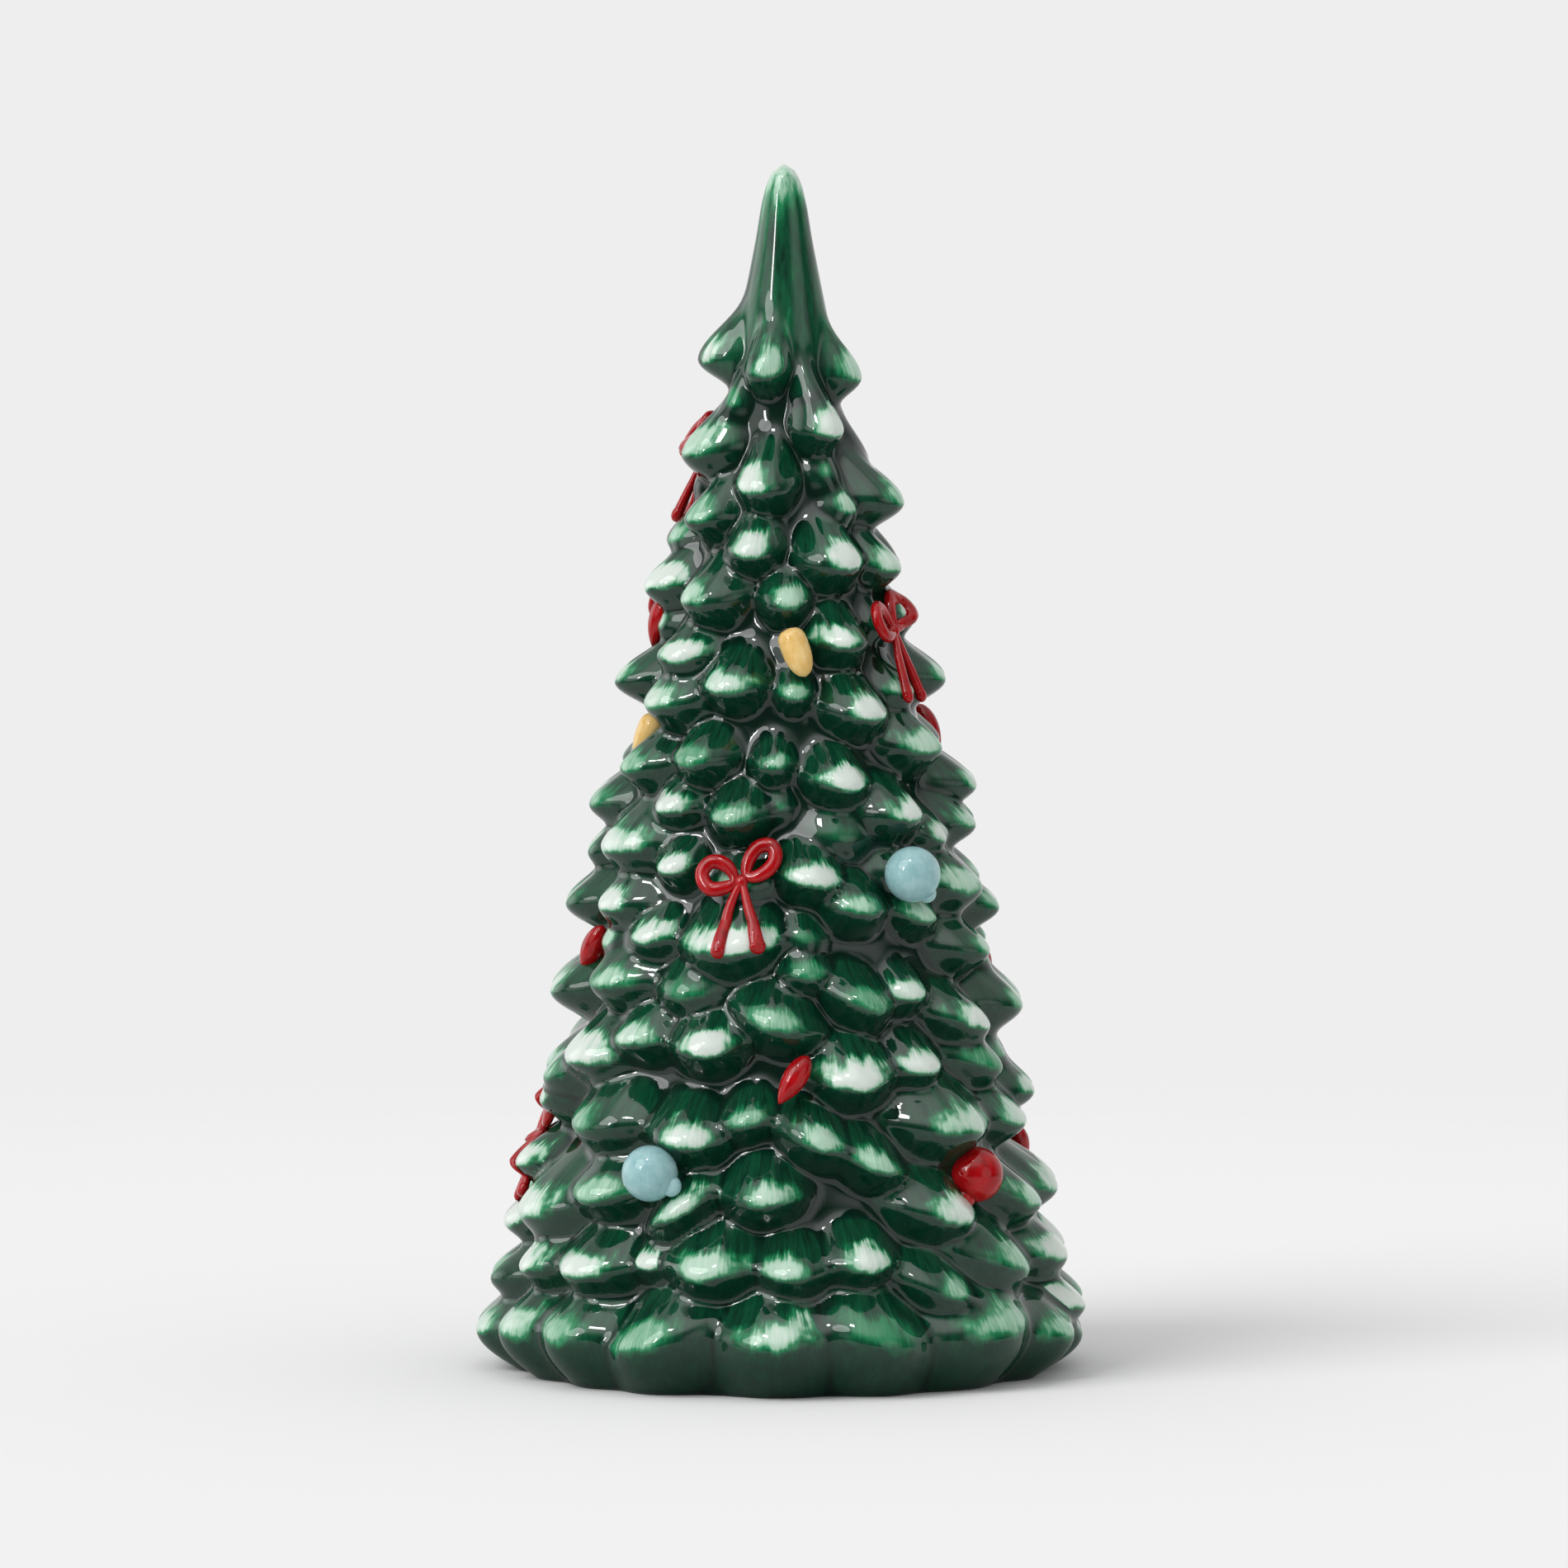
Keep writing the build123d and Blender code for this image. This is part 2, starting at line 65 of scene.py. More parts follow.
# Branches on the front half of the tree; the back half mirrors it.
# Turn from the front, share of the height, half width in turn, tilt of the lip, share of the reach
BRANCH_SHARES = (
    (-84, 0.036, 9, 0, 1.00), (-66, 0.044, 10, 0, 0.95), (-47, 0.047, 10, 0, 1.00),
    (-26, 0.046, 11, 14, 1.00), (-2, 0.048, 11, 0, 1.00), (19, 0.050, 11, -10, 1.00),
    (45, 0.050, 14, 4, 1.00), (67, 0.040, 10, 0, 1.00), (84, 0.030, 9, 0, 0.82),
    (-83, 0.078, 8, 0, 1.00), (-64, 0.095, 9, 0, 0.95), (-46, 0.097, 10, 0, 1.00),
    (-31, 0.105, 5, 0, 0.80), (-16, 0.102, 10, 0, 1.00), (2, 0.101, 8, 0, 0.95),
    (17, 0.108, 8, 0, 0.95), (35, 0.082, 9, -14, 0.90), (52, 0.100, 13, -10, 1.00),
    (76, 0.100, 11, 0, 1.00), (79, 0.058, 9, 0, 1.05),
    (-86, 0.124, 8, 0, 0.95), (-68, 0.140, 14, 0, 1.00), (-46, 0.159, 10, 0, 1.00),
    (-24, 0.148, 8, 25, 0.95), (-5, 0.160, 9, 0, 1.00), (37, 0.144, 11, -6, 1.00),
    (65, 0.148, 10, -8, 1.00), (82, 0.154, 10, 0, 1.00),
    (-84, 0.174, 9, 0, 1.00), (-49, 0.214, 13, 0, 1.00), (-25, 0.206, 10, -6, 1.00),
    (-9, 0.222, 7, 10, 0.85), (7, 0.206, 9, -16, 1.00), (21, 0.186, 8, -16, 1.00),
    (44, 0.212, 14, 0, 1.00), (66, 0.214, 10, 0, 1.00), (81, 0.234, 9, 0, 0.95),
    (-77, 0.228, 9, 0, 0.85), (-32, 0.172, 9, 0, 0.55), (54, 0.174, 9, 0, 0.55),
    (-58, 0.268, 12, 0, 1.00), (-40, 0.285, 9, 0, 1.00), (-21, 0.280, 10, 0, 1.00),
    (-2, 0.300, 11, -14, 1.00), (18, 0.254, 11, 0, 1.00), (37, 0.263, 8, 0, 0.90),
    (60, 0.260, 10, -8, 0.90), (-72, 0.249, 10, 0, 0.95), (78, 0.265, 9, 0, 0.50),
    (-52, 0.329, 12, 0, 1.00), (-78, 0.318, 11, 0, 1.02), (6, 0.340, 7, 0, 0.90),
    (21, 0.316, 9, -12, 1.00), (37, 0.322, 7, 0, 0.90), (55, 0.296, 10, -8, 1.00),
    (79, 0.306, 12, 0, 1.05), (-28, 0.324, 10, 0, 0.70),
    (-42, 0.367, 9, 0, 0.85), (-16, 0.361, 14, 2, 1.00),
    (6, 0.368, 7, -6, 0.60), (22, 0.392, 10, -4, 1.00), (44, 0.384, 8, -8, 0.90),
    (62, 0.354, 10, 0, 1.00), (78, 0.344, 9, 0, 0.55), (-60, 0.360, 9, 0, 0.60),
    (-56, 0.392, 11, 0, 0.95), (-80, 0.390, 11, 0, 1.05), (-36, 0.424, 8, 0, 1.00),
    (8, 0.417, 10, -6, 1.00), (-14, 0.410, 10, 0, 0.55), (64, 0.405, 13, 0, 1.00),
    (82, 0.386, 9, 0, 1.00), (38, 0.420, 9, 0, 0.60),
    (-58, 0.440, 15, 0, 1.00), (-40, 0.473, 9, 0, 0.90), (-16, 0.466, 10, 0, 1.00),
    (-2, 0.474, 6, 0, 0.45), (39, 0.466, 12, 0, 1.00), (57, 0.448, 8, 0, 0.90),
    (72, 0.456, 10, 0, 1.00), (-80, 0.472, 11, 0, 1.00), (20, 0.450, 12, -4, 0.45),
    (-82, 0.432, 9, 0, 0.90),
    (-57, 0.504, 12, 0, 1.00), (-31, 0.512, 11, 0, 1.00), (-4, 0.508, 8, 0, 0.90),
    (19, 0.494, 11, -4, 1.00), (55, 0.520, 13, 0, 1.00), (80, 0.488, 11, 0, 1.05),
    (-80, 0.514, 10, 0, 0.40),
    (-48, 0.558, 15, 0, 1.00), (-21, 0.572, 13, 0, 1.00), (4, 0.566, 8, 0, 0.95),
    (29, 0.550, 13, -4, 1.00), (54, 0.566, 10, 0, 0.80), (78, 0.576, 12, 0, 0.95),
    (-78, 0.574, 12, 0, 1.08),
    (-48, 0.596, 14, 0, 0.95), (26, 0.608, 13, 0, 1.00), (4, 0.602, 8, 0, 0.35),
    (74, 0.626, 11, 0, 0.80), (-76, 0.620, 11, 0, 0.60), (52, 0.620, 9, 0, 0.70),
    (-38, 0.642, 17, 0, 1.00), (0, 0.640, 12, 0, 1.00), (-76, 0.652, 15, 0, 1.00),
    (26, 0.672, 18, 0, 1.00), (60, 0.668, 13, 0, 1.00), (86, 0.674, 12, 0, 0.55),
    (-17, 0.682, 15, 0, 1.00), (-49, 0.708, 16, 0, 1.00), (-84, 0.690, 14, 0, 0.75),
    (40, 0.716, 14, 0, 0.60),
    (-12, 0.734, 19, 0, 1.05), (68, 0.722, 18, 0, 1.15), (30, 0.744, 14, 0, 0.50),
    (-68, 0.762, 24, 0, 1.00), (28, 0.780, 19, 0, 1.05), (-88, 0.734, 14, 0, 0.40),
    (88, 0.756, 20, 0, 0.35),
    (-17, 0.828, 20, 0, 0.95), (70, 0.824, 20, 0, 0.86), (-82, 0.838, 22, 0, 0.78),
    (22, 0.808, 14, 0, 0.70), (-50, 0.802, 14, 0, 0.60),
)


class Kind(Enum):
    """What an ornament is."""

    BOW = "bow"
    BAUBLE = "bauble"
    BULB = "light"
    STOUT_BULB = "stout_light"


class Paint(Enum):
    """Enamel that an ornament is painted with, by its slot in the record."""

    RED = "enamel_red"
    BLUE = "enamel_blue"
    YELLOW = "enamel_yellow"


# Node, kind, enamel, turn from the front, share of the height, spin on the seat, how far the seat
# is turned out of the radial, share of the branches' reach it stands at
ORNAMENT_SHARES = (
    ("bow_front", Kind.BOW, Paint.RED, -12.6, 0.405, 0, 0, 0.78),
    ("bow_right", Kind.BOW, Paint.RED, 58.0, 0.606, -8, 11, 0.66),
    ("bow_low_left", Kind.BOW, Paint.RED, -88.0, 0.190, 6, 0, 0.76),
    ("bow_high_left", Kind.BOW, Paint.RED, -112.0, 0.750, 0, 0, 0.70),
    ("bow_back", Kind.BOW, Paint.RED, 167.4, 0.405, 0, 0, 0.78),
    ("bow_back_high", Kind.BOW, Paint.RED, -126.0, 0.609, -8, 0, 0.95),
    ("bauble_blue_right", Kind.BAUBLE, Paint.BLUE, 38.0, 0.419, -135, 0, 0.72),
    ("bauble_blue_left", Kind.BAUBLE, Paint.BLUE, -30.0, 0.179, -115, 0, 0.72),
    ("bauble_red_right", Kind.BAUBLE, Paint.RED, 51.0, 0.172, 145, 0, 0.30),
    ("bauble_red_back", Kind.BAUBLE, Paint.RED, -142.0, 0.422, -135, 0, 0.72),
    ("bauble_red_back_low", Kind.BAUBLE, Paint.RED, 150.0, 0.190, -115, 0, 1.00),
    ("bauble_blue_back", Kind.BAUBLE, Paint.BLUE, -128.5, 0.170, 145, 0, 0.62),
    ("light_yellow_front", Kind.STOUT_BULB, Paint.YELLOW, 5.1, 0.600, 19, 0, 0.50),
    ("light_yellow_left", Kind.STOUT_BULB, Paint.YELLOW, -69.0, 0.526, -18, 0, 0.06),
    ("light_red_front", Kind.BULB, Paint.RED, 2.3, 0.256, -32, 0, 0.55),
    ("light_red_left", Kind.BULB, Paint.RED, -72.0, 0.352, -30, 0, 0.34),
    ("light_red_high_left", Kind.BULB, Paint.RED, -82.0, 0.622, -15, 0, 0.28),
    ("light_red_low_right", Kind.BULB, Paint.RED, 108.0, 0.176, 30, 0, 0.50),
    ("light_red_right", Kind.BULB, Paint.RED, 108.0, 0.330, 20, 0, 0.40),
    ("light_red_back", Kind.BULB, Paint.RED, 185.0, 0.600, 19, 0, 0.50),
    ("light_red_back_right", Kind.BULB, Paint.RED, 126.0, 0.526, -18, 0, 0.85),
    ("light_yellow_back", Kind.STOUT_BULB, Paint.YELLOW, 182.3, 0.256, -32, 0, 0.55),
    ("light_yellow_back_right", Kind.STOUT_BULB, Paint.YELLOW, 126.0, 0.355, -40, 0, 0.80),
)


class Value:
    """A socket that carries one number, with arithmetic that adds Math nodes."""

    def __init__(self, sheet: "NodeSheet", socket: Socket) -> None:
        """Wraps a socket.

        Args:
            sheet: node sheet that the socket belongs to.
            socket: output socket that carries the number.
        """
        self.sheet = sheet
        self.socket = socket

    def _math(self, operation: str, *terms: Number) -> "Value":
        """Adds one Math node.

        Args:
            operation: the node's operation.
            terms: its inputs, in order.

        Returns:
            The node's result.
        """
        made = self.sheet.node(
            "ShaderNodeMath", {"operation": operation}, dict(enumerate(terms))
        )
        return Value(self.sheet, made.outputs[0])

    def __add__(self, other: Number) -> "Value":
        """Sum."""
        return self._math("ADD", self, other)

    def __radd__(self, other: Number) -> "Value":
        """Sum with a plain number first."""
        return self._math("ADD", other, self)

    def __sub__(self, other: Number) -> "Value":
        """Difference."""
        return self._math("SUBTRACT", self, other)

    def __rsub__(self, other: Number) -> "Value":
        """Difference with a plain number first."""
        return self._math("SUBTRACT", other, self)

    def __mul__(self, other: Number) -> "Value":
        """Product."""
        return self._math("MULTIPLY", self, other)

    def __rmul__(self, other: Number) -> "Value":
        """Product with a plain number first."""
        return self._math("MULTIPLY", other, self)

    def __truediv__(self, other: Number) -> "Value":
        """Quotient."""
        return self._math("DIVIDE", self, other)

    def most(self, other: Number) -> "Value":
        """The larger of two numbers."""
        return self._math("MAXIMUM", self, other)

    def least(self, other: Number) -> "Value":
        """The smaller of two numbers."""
        return self._math("MINIMUM", self, other)

    def root(self) -> "Value":
        """Square root."""
        return self._math("SQRT", self)

    def part(self) -> "Value":
        """What is left past the whole number."""
        return self._math("FRACT", self)

    def ease(self, low: float, high: float) -> "Value":
        """Smooth step.

        Args:
            low: value that gives zero.
            high: value that gives one.

        Returns:
            A number from zero to one.
        """
        made = self.sheet.node(
            "ShaderNodeMapRange",
            {"interpolation_type": "SMOOTHSTEP"},
            {"Value": self, "From Min": low, "From Max": high},
        )
        return Value(self.sheet, made.outputs["Result"])


class NodeSheet:
    """The node tree of one finish."""

    def __init__(self, name: str, tree: Optional[bpy.types.NodeTree] = None) -> None:
        """Starts an empty material, or clears a tree that is given.

        Args:
            name: the material's name.
            tree: node tree to use in place of a new material's.
        """
        self.material = None
        if tree is None:
            self.material = bpy.data.materials.new(name)
            self.material.use_nodes = True
            tree = self.material.node_tree
        self.tree = tree
        self.tree.nodes.clear()

    def node(
        self,
        kind: str,
        settings: Optional[dict[str, Any]] = None,
        sockets: Optional[dict[Any, Any]] = None,
    ) -> bpy.types.Node:
        """Adds any node.

        Args:
            kind: the node's type.
            settings: its properties; "stops" fills a colour ramp.
            sockets: values or links of its inputs, by name or number.

        Returns:
            The new node.
        """
        made = self.tree.nodes.new(kind)
        for key, value in (settings or {}).items():
            if key == "stops":
                marks = made.color_ramp.elements
                while len(marks) < len(value):
                    marks.new(1.0)
                for mark, (place, colour) in zip(marks, value):
                    mark.position = place
                    mark.color = (*colour, 1.0)
            else:
                setattr(made, key, value)
        for key, value in (sockets or {}).items():
            socket = made.inputs[key]
            if isinstance(value, Value):
                self.tree.links.new(value.socket, socket)
            elif isinstance(value, Socket):
                self.tree.links.new(value, socket)
            else:
                socket.default_value = value
        return made

    def attribute(self, name: str) -> Value:
        """A number kept on the mesh under a name."""
        made = self.node("ShaderNodeAttribute", {"attribute_name": name})
        return Value(self, made.outputs["Fac"])

    def place(self) -> Socket:
        """Object coordinates."""
        return self.node("ShaderNodeTexCoord").outputs["Object"]

    def axis(self, vector: Socket, name: str) -> Value:
        """One axis of a vector."""
        made = self.node("ShaderNodeSeparateXYZ", None, {"Vector": vector})
        return Value(self, made.outputs[name])

    def vector(self, x: Number, y: Number, z: Number) -> Socket:
        """A vector made of three numbers."""
        made = self.node("ShaderNodeCombineXYZ", None, {"X": x, "Y": y, "Z": z})
        return made.outputs["Vector"]

    def stretch(self, vector: Socket, scale: Colour) -> Socket:
        """A vector scaled along its axes."""
        made = self.node(
            "ShaderNodeVectorMath", {"operation": "MULTIPLY"}, {0: vector, 1: scale}
        )
        return made.outputs["Vector"]

    def noise(
        self, vector: Socket, scale: float, detail: float, roughness: float = 0.5
    ) -> Value:
        """Soft noise.

        Args:
            vector: where it is read.
            scale: its fineness.
            detail: how many finer layers it has.
            roughness: how strong those layers are.

        Returns:
            A number round a half.
        """
        made = self.node(
            "ShaderNodeTexNoise",
            None,
            {"Vector": vector, "Scale": scale, "Detail": detail, "Roughness": roughness},
        )
        return Value(self, made.outputs["Fac"])

    def ramp(self, value: Value, stops: tuple[tuple[float, Colour], ...]) -> Socket:
        """A colour picked along a ramp by a number."""
        made = self.node("ShaderNodeValToRGB", {"stops": stops}, {"Fac": value})
        return made.outputs["Color"]

    def mix(self, share: Number, first: Any, second: Any) -> Socket:
        """Two colours mixed by a number.

        Args:
            share: how much of the second colour shows.
            first: a colour, or a socket that carries one.
            second: another.

        Returns:
            The mixed colour.
        """
        pair = [(*c, 1.0) if isinstance(c, tuple) else c for c in (first, second)]
        made = self.node(
            "ShaderNodeMix", {"data_type": "RGBA"}, {0: share, 6: pair[0], 7: pair[1]}
        )
        return made.outputs[2]

    def bump(self, height: Value, strength: float, distance: float) -> Socket:
        """A normal bent by a height."""
        made = self.node(
            "ShaderNodeBump", None, {"Height": height, "Strength": strength, "Distance": distance}
        )
        return made.outputs["Normal"]

    def surface(self, sockets: dict[str, Any]) -> Material:
        """Closes the sheet with a Principled shader.

        Args:
            sockets: values or links of the shader's inputs.

        Returns:
            The finished material.
        """
        shader = self.node("ShaderNodeBsdfPrincipled", None, sockets)
        self.node("ShaderNodeOutputMaterial", None, {"Surface": shader.outputs[0]})
        return self.material


@dataclass(frozen=True)
class GreenGlaze:
    """Brushed green glaze that breaks to white over the branch tips, with painted shade darkening it in
    the creases between them and under each lip.
    """

    # Darkest green, shown mostly where painted shade darkens the creases between branches
    painted_shade_green: Colour = (0.0020, 0.0110, 0.0070)
    deep: Colour = (0.0030, 0.0320, 0.0170)
    leaf: Colour = (0.0060, 0.0920, 0.0380)
    bright: Colour = (0.0200, 0.2300, 0.0920)
    pale: Colour = (0.3400, 0.5600, 0.4100)
    white: Colour = (0.6400, 0.7100, 0.6500)
    tip_reach: tuple[float, float, float] = (0.60, 0.29, 0.28)
    tip_rise: float = 0.10
    tip_shift: float = 0.42
    tip_edge: Pair = (-0.52, 0.70)
    brush_pull: float = 1.35
    hair_pull: float = 0.55
    patchiness: float = 1.3
    blotch_scale: Colour = (170.0, 170.0, 170.0)
    upright_scale: Colour = (420.0, 420.0, 24.0)
    peel_scale: Colour = (260.0, 260.0, 260.0)
    stroke_scale: Colour = (620.0, 620.0, 110.0)
    spire_from: Pair = (0.198, 0.216)
    spire_tip: Pair = (0.236, 0.251)
    foot_gloss: float = 0.45
    foot_rise: Pair = (0.003, 0.014)
    bump: Pair = (0.25, 0.0006)

    def material(self) -> Material:
        """Mixes the glaze.

        Returns:
            The finish as a node material.
        """
        sheet = NodeSheet("green_glaze")
        fan = sheet.attribute("fan")
        along = sheet.attribute("along")
        seed = sheet.attribute("seed")
        crease = sheet.attribute("crease")
        white = sheet.attribute("white")
        draw = (seed * 7.31).part()
        size = (seed * 13.7).part()
        place = sheet.place()
        up = along.most(0.0)
        down = (0.0 - along).most(0.0)
        brush = sheet.noise(
            sheet.vector(fan * 4.2 + seed * 41.0, up * 1.1, seed * 17.0 + down * 2.5), 1.7, 4.0, 0.62
        )
        hair = sheet.noise(
            sheet.vector(fan * 17.0 + seed * 73.0, up * 1.6, seed * 29.0 + down * 3.0), 1.5, 3.0, 0.6
        )
        wide, high, low = self.tip_reach
        side = (fan + (draw - 0.5) * self.tip_shift) / (wide * (0.72 + 0.5 * size))
        rise = (along - self.tip_rise).most(0.0) / high
        fall = (self.tip_rise - along).most(0.0) / low
        away = (side * side + rise * rise + fall * fall).root()
        blotch = sheet.noise(sheet.stretch(place, self.blotch_scale), 1.0, 2.0, 0.5)
        ragged = (brush - 0.5) * self.brush_pull + (hair - 0.5) * self.hair_pull
        patchy = (blotch - 0.52) * self.patchiness
        tip = 1.0 - away + ragged * (0.30 + 0.70 * along.ease(0.05, 0.40)) + patchy
        tip = tip.ease(*self.tip_edge)
        # Brush streaks of the wash, with painted shade: the wash is kept darker on each branch's
        # underside, below its lip, than on the slope above
        slope = along.ease(-0.35, 0.25)
        streaks = (brush - 0.42) * 0.9 + (hair - 0.5) * 0.5
        wash_and_underside_shade = 0.10 + (0.10 + streaks * 0.50) * (0.45 + 0.55 * slope)
        upright = sheet.noise(sheet.stretch(place, self.upright_scale), 1.0, 3.0, 0.55)
        height = sheet.axis(place, "Z")
        spire = height.ease(*self.spire_from)
        spire_wash = 0.30 + (upright - 0.5) * 0.9 + height.ease(*self.spire_tip) * 0.45
        tips = tip * white * (1.0 + (hair - 0.5) * 0.35) * crease.ease(0.4, 0.9)
        tone = (wash_and_underside_shade * (1.0 - spire) + spire_wash * spire).most(tips)
        # Painted shade: the tone drops to a fifth in the creases between branches, though not on the
        # spire
        tone = tone * (0.2 + 0.8 * crease.ease(0.1, 0.6)).most(spire)
        colour = sheet.ramp(
            tone,
            (
                (0.00, self.painted_shade_green), (0.17, self.deep), (0.38, self.leaf),
                (0.54, self.bright), (0.69, self.pale), (0.90, self.white),
            ),
        )
        peel = sheet.noise(sheet.stretch(place, self.peel_scale), 1.0, 2.0)
        stroke = sheet.noise(sheet.stretch(place, self.stroke_scale), 1.0, 3.0, 0.55)
        relief = stroke * 0.6 + peel * 0.4
        return sheet.surface(
            {
                "Base Color": colour,
                "Roughness": 0.16 + peel * 0.08,
                "Specular IOR Level": 0.0,
                "Coat Weight": self.foot_gloss + (1.0 - self.foot_gloss) * height.ease(*self.foot_rise),
                "Coat Roughness": 0.035,
                "Coat IOR": 1.5,
                "Normal": sheet.bump(relief, *self.bump),
            }
        )


@dataclass(frozen=True)
class Enamel:
    """Brushed glossy enamel on an ornament."""

    paint: Paint
    colour: Colour
    thin: Colour
    thick: Colour
    cloud_scale: Colour = (210.0, 210.0, 330.0)
    brush_scale: Colour = (900.0, 900.0, 260.0)
    bump: Pair = (0.2, 0.0004)

    def material(self) -> Material:
        """Mixes the enamel.

        Returns:
            The finish as a node material.
        """
        sheet = NodeSheet(self.paint.value)
        place = sheet.place()
        cloud = sheet.noise(sheet.stretch(place, self.cloud_scale), 1.0, 3.0, 0.6)
        brush = sheet.noise(sheet.stretch(place, self.brush_scale), 1.0, 3.0, 0.55)
        body = sheet.mix((cloud * 0.6 + brush * 0.4).ease(0.40, 0.70), self.colour, self.thin)
        colour = sheet.mix((cloud + brush * 0.35).ease(0.36, 0.62), self.thick, body)
        return sheet.surface(
            {
                "Base Color": colour,
                "Roughness": 0.18 + brush * 0.10,
                "Specular IOR Level": 0.0,
                "Coat Weight": 1.0,
                "Coat Roughness": 0.04,
                "Coat IOR": 1.38,
                "Normal": sheet.bump(brush * 0.4 + cloud * 0.6, *self.bump),
            }
        )


ENAMELS = (
    Enamel(Paint.RED, (0.320, 0.002, 0.004), (0.440, 0.006, 0.009), (0.165, 0.001, 0.002)),
    Enamel(Paint.BLUE, (0.26, 0.46, 0.48), (0.36, 0.56, 0.57), (0.19, 0.38, 0.41)),
    Enamel(Paint.YELLOW, (0.74, 0.47, 0.15), (0.82, 0.60, 0.27), (0.60, 0.34, 0.08)),
)


@dataclass(frozen=True)
class Bisque:
    """Unglazed fired clay of the foot and of the casting's inside."""

    clay: Colour = (0.72, 0.68, 0.61)
    worn: Colour = (0.52, 0.48, 0.42)
    grain_scale: Colour = (2600.0, 2600.0, 2600.0)
    stain_scale: Colour = (60.0, 60.0, 60.0)
    bump: Pair = (0.3, 0.0002)

    def material(self) -> Material:
        """Mixes the clay.

        Returns:
            The finish as a node material.
        """
        sheet = NodeSheet("bisque")
        place = sheet.place()
        grain = sheet.noise(sheet.stretch(place, self.grain_scale), 1.0, 3.0, 0.6)
        stain = sheet.noise(sheet.stretch(place, self.stain_scale), 1.0, 4.0, 0.6)
        wear = (stain * 0.7 + grain * 0.3).ease(0.45, 0.72)
        return sheet.surface(
            {
                "Base Color": sheet.mix(wear, self.clay, self.worn),
                "Roughness": 0.82 + grain * 0.14,
                "Normal": sheet.bump(grain, *self.bump),
            }
        )


@dataclass
class SkinField:
    """What the tree's skin is like at a set of turns and heights."""

    radius: np.ndarray
    fan: np.ndarray
    along: np.ndarray
    seed: np.ndarray
    crease: np.ndarray
    white: np.ndarray


@dataclass
class Branch:
    """One rounded branch tip: a hanging lip, a swept slope above and a hollow heel below."""

    turn: float
    height: float
    reach: float
    radius: float
    half_width: float
    slope: float
    run: float
    drop: float
    sweep: float
    heel: float
    curl: float
    groove: float
    fillet: float
    seed: float
    white: float


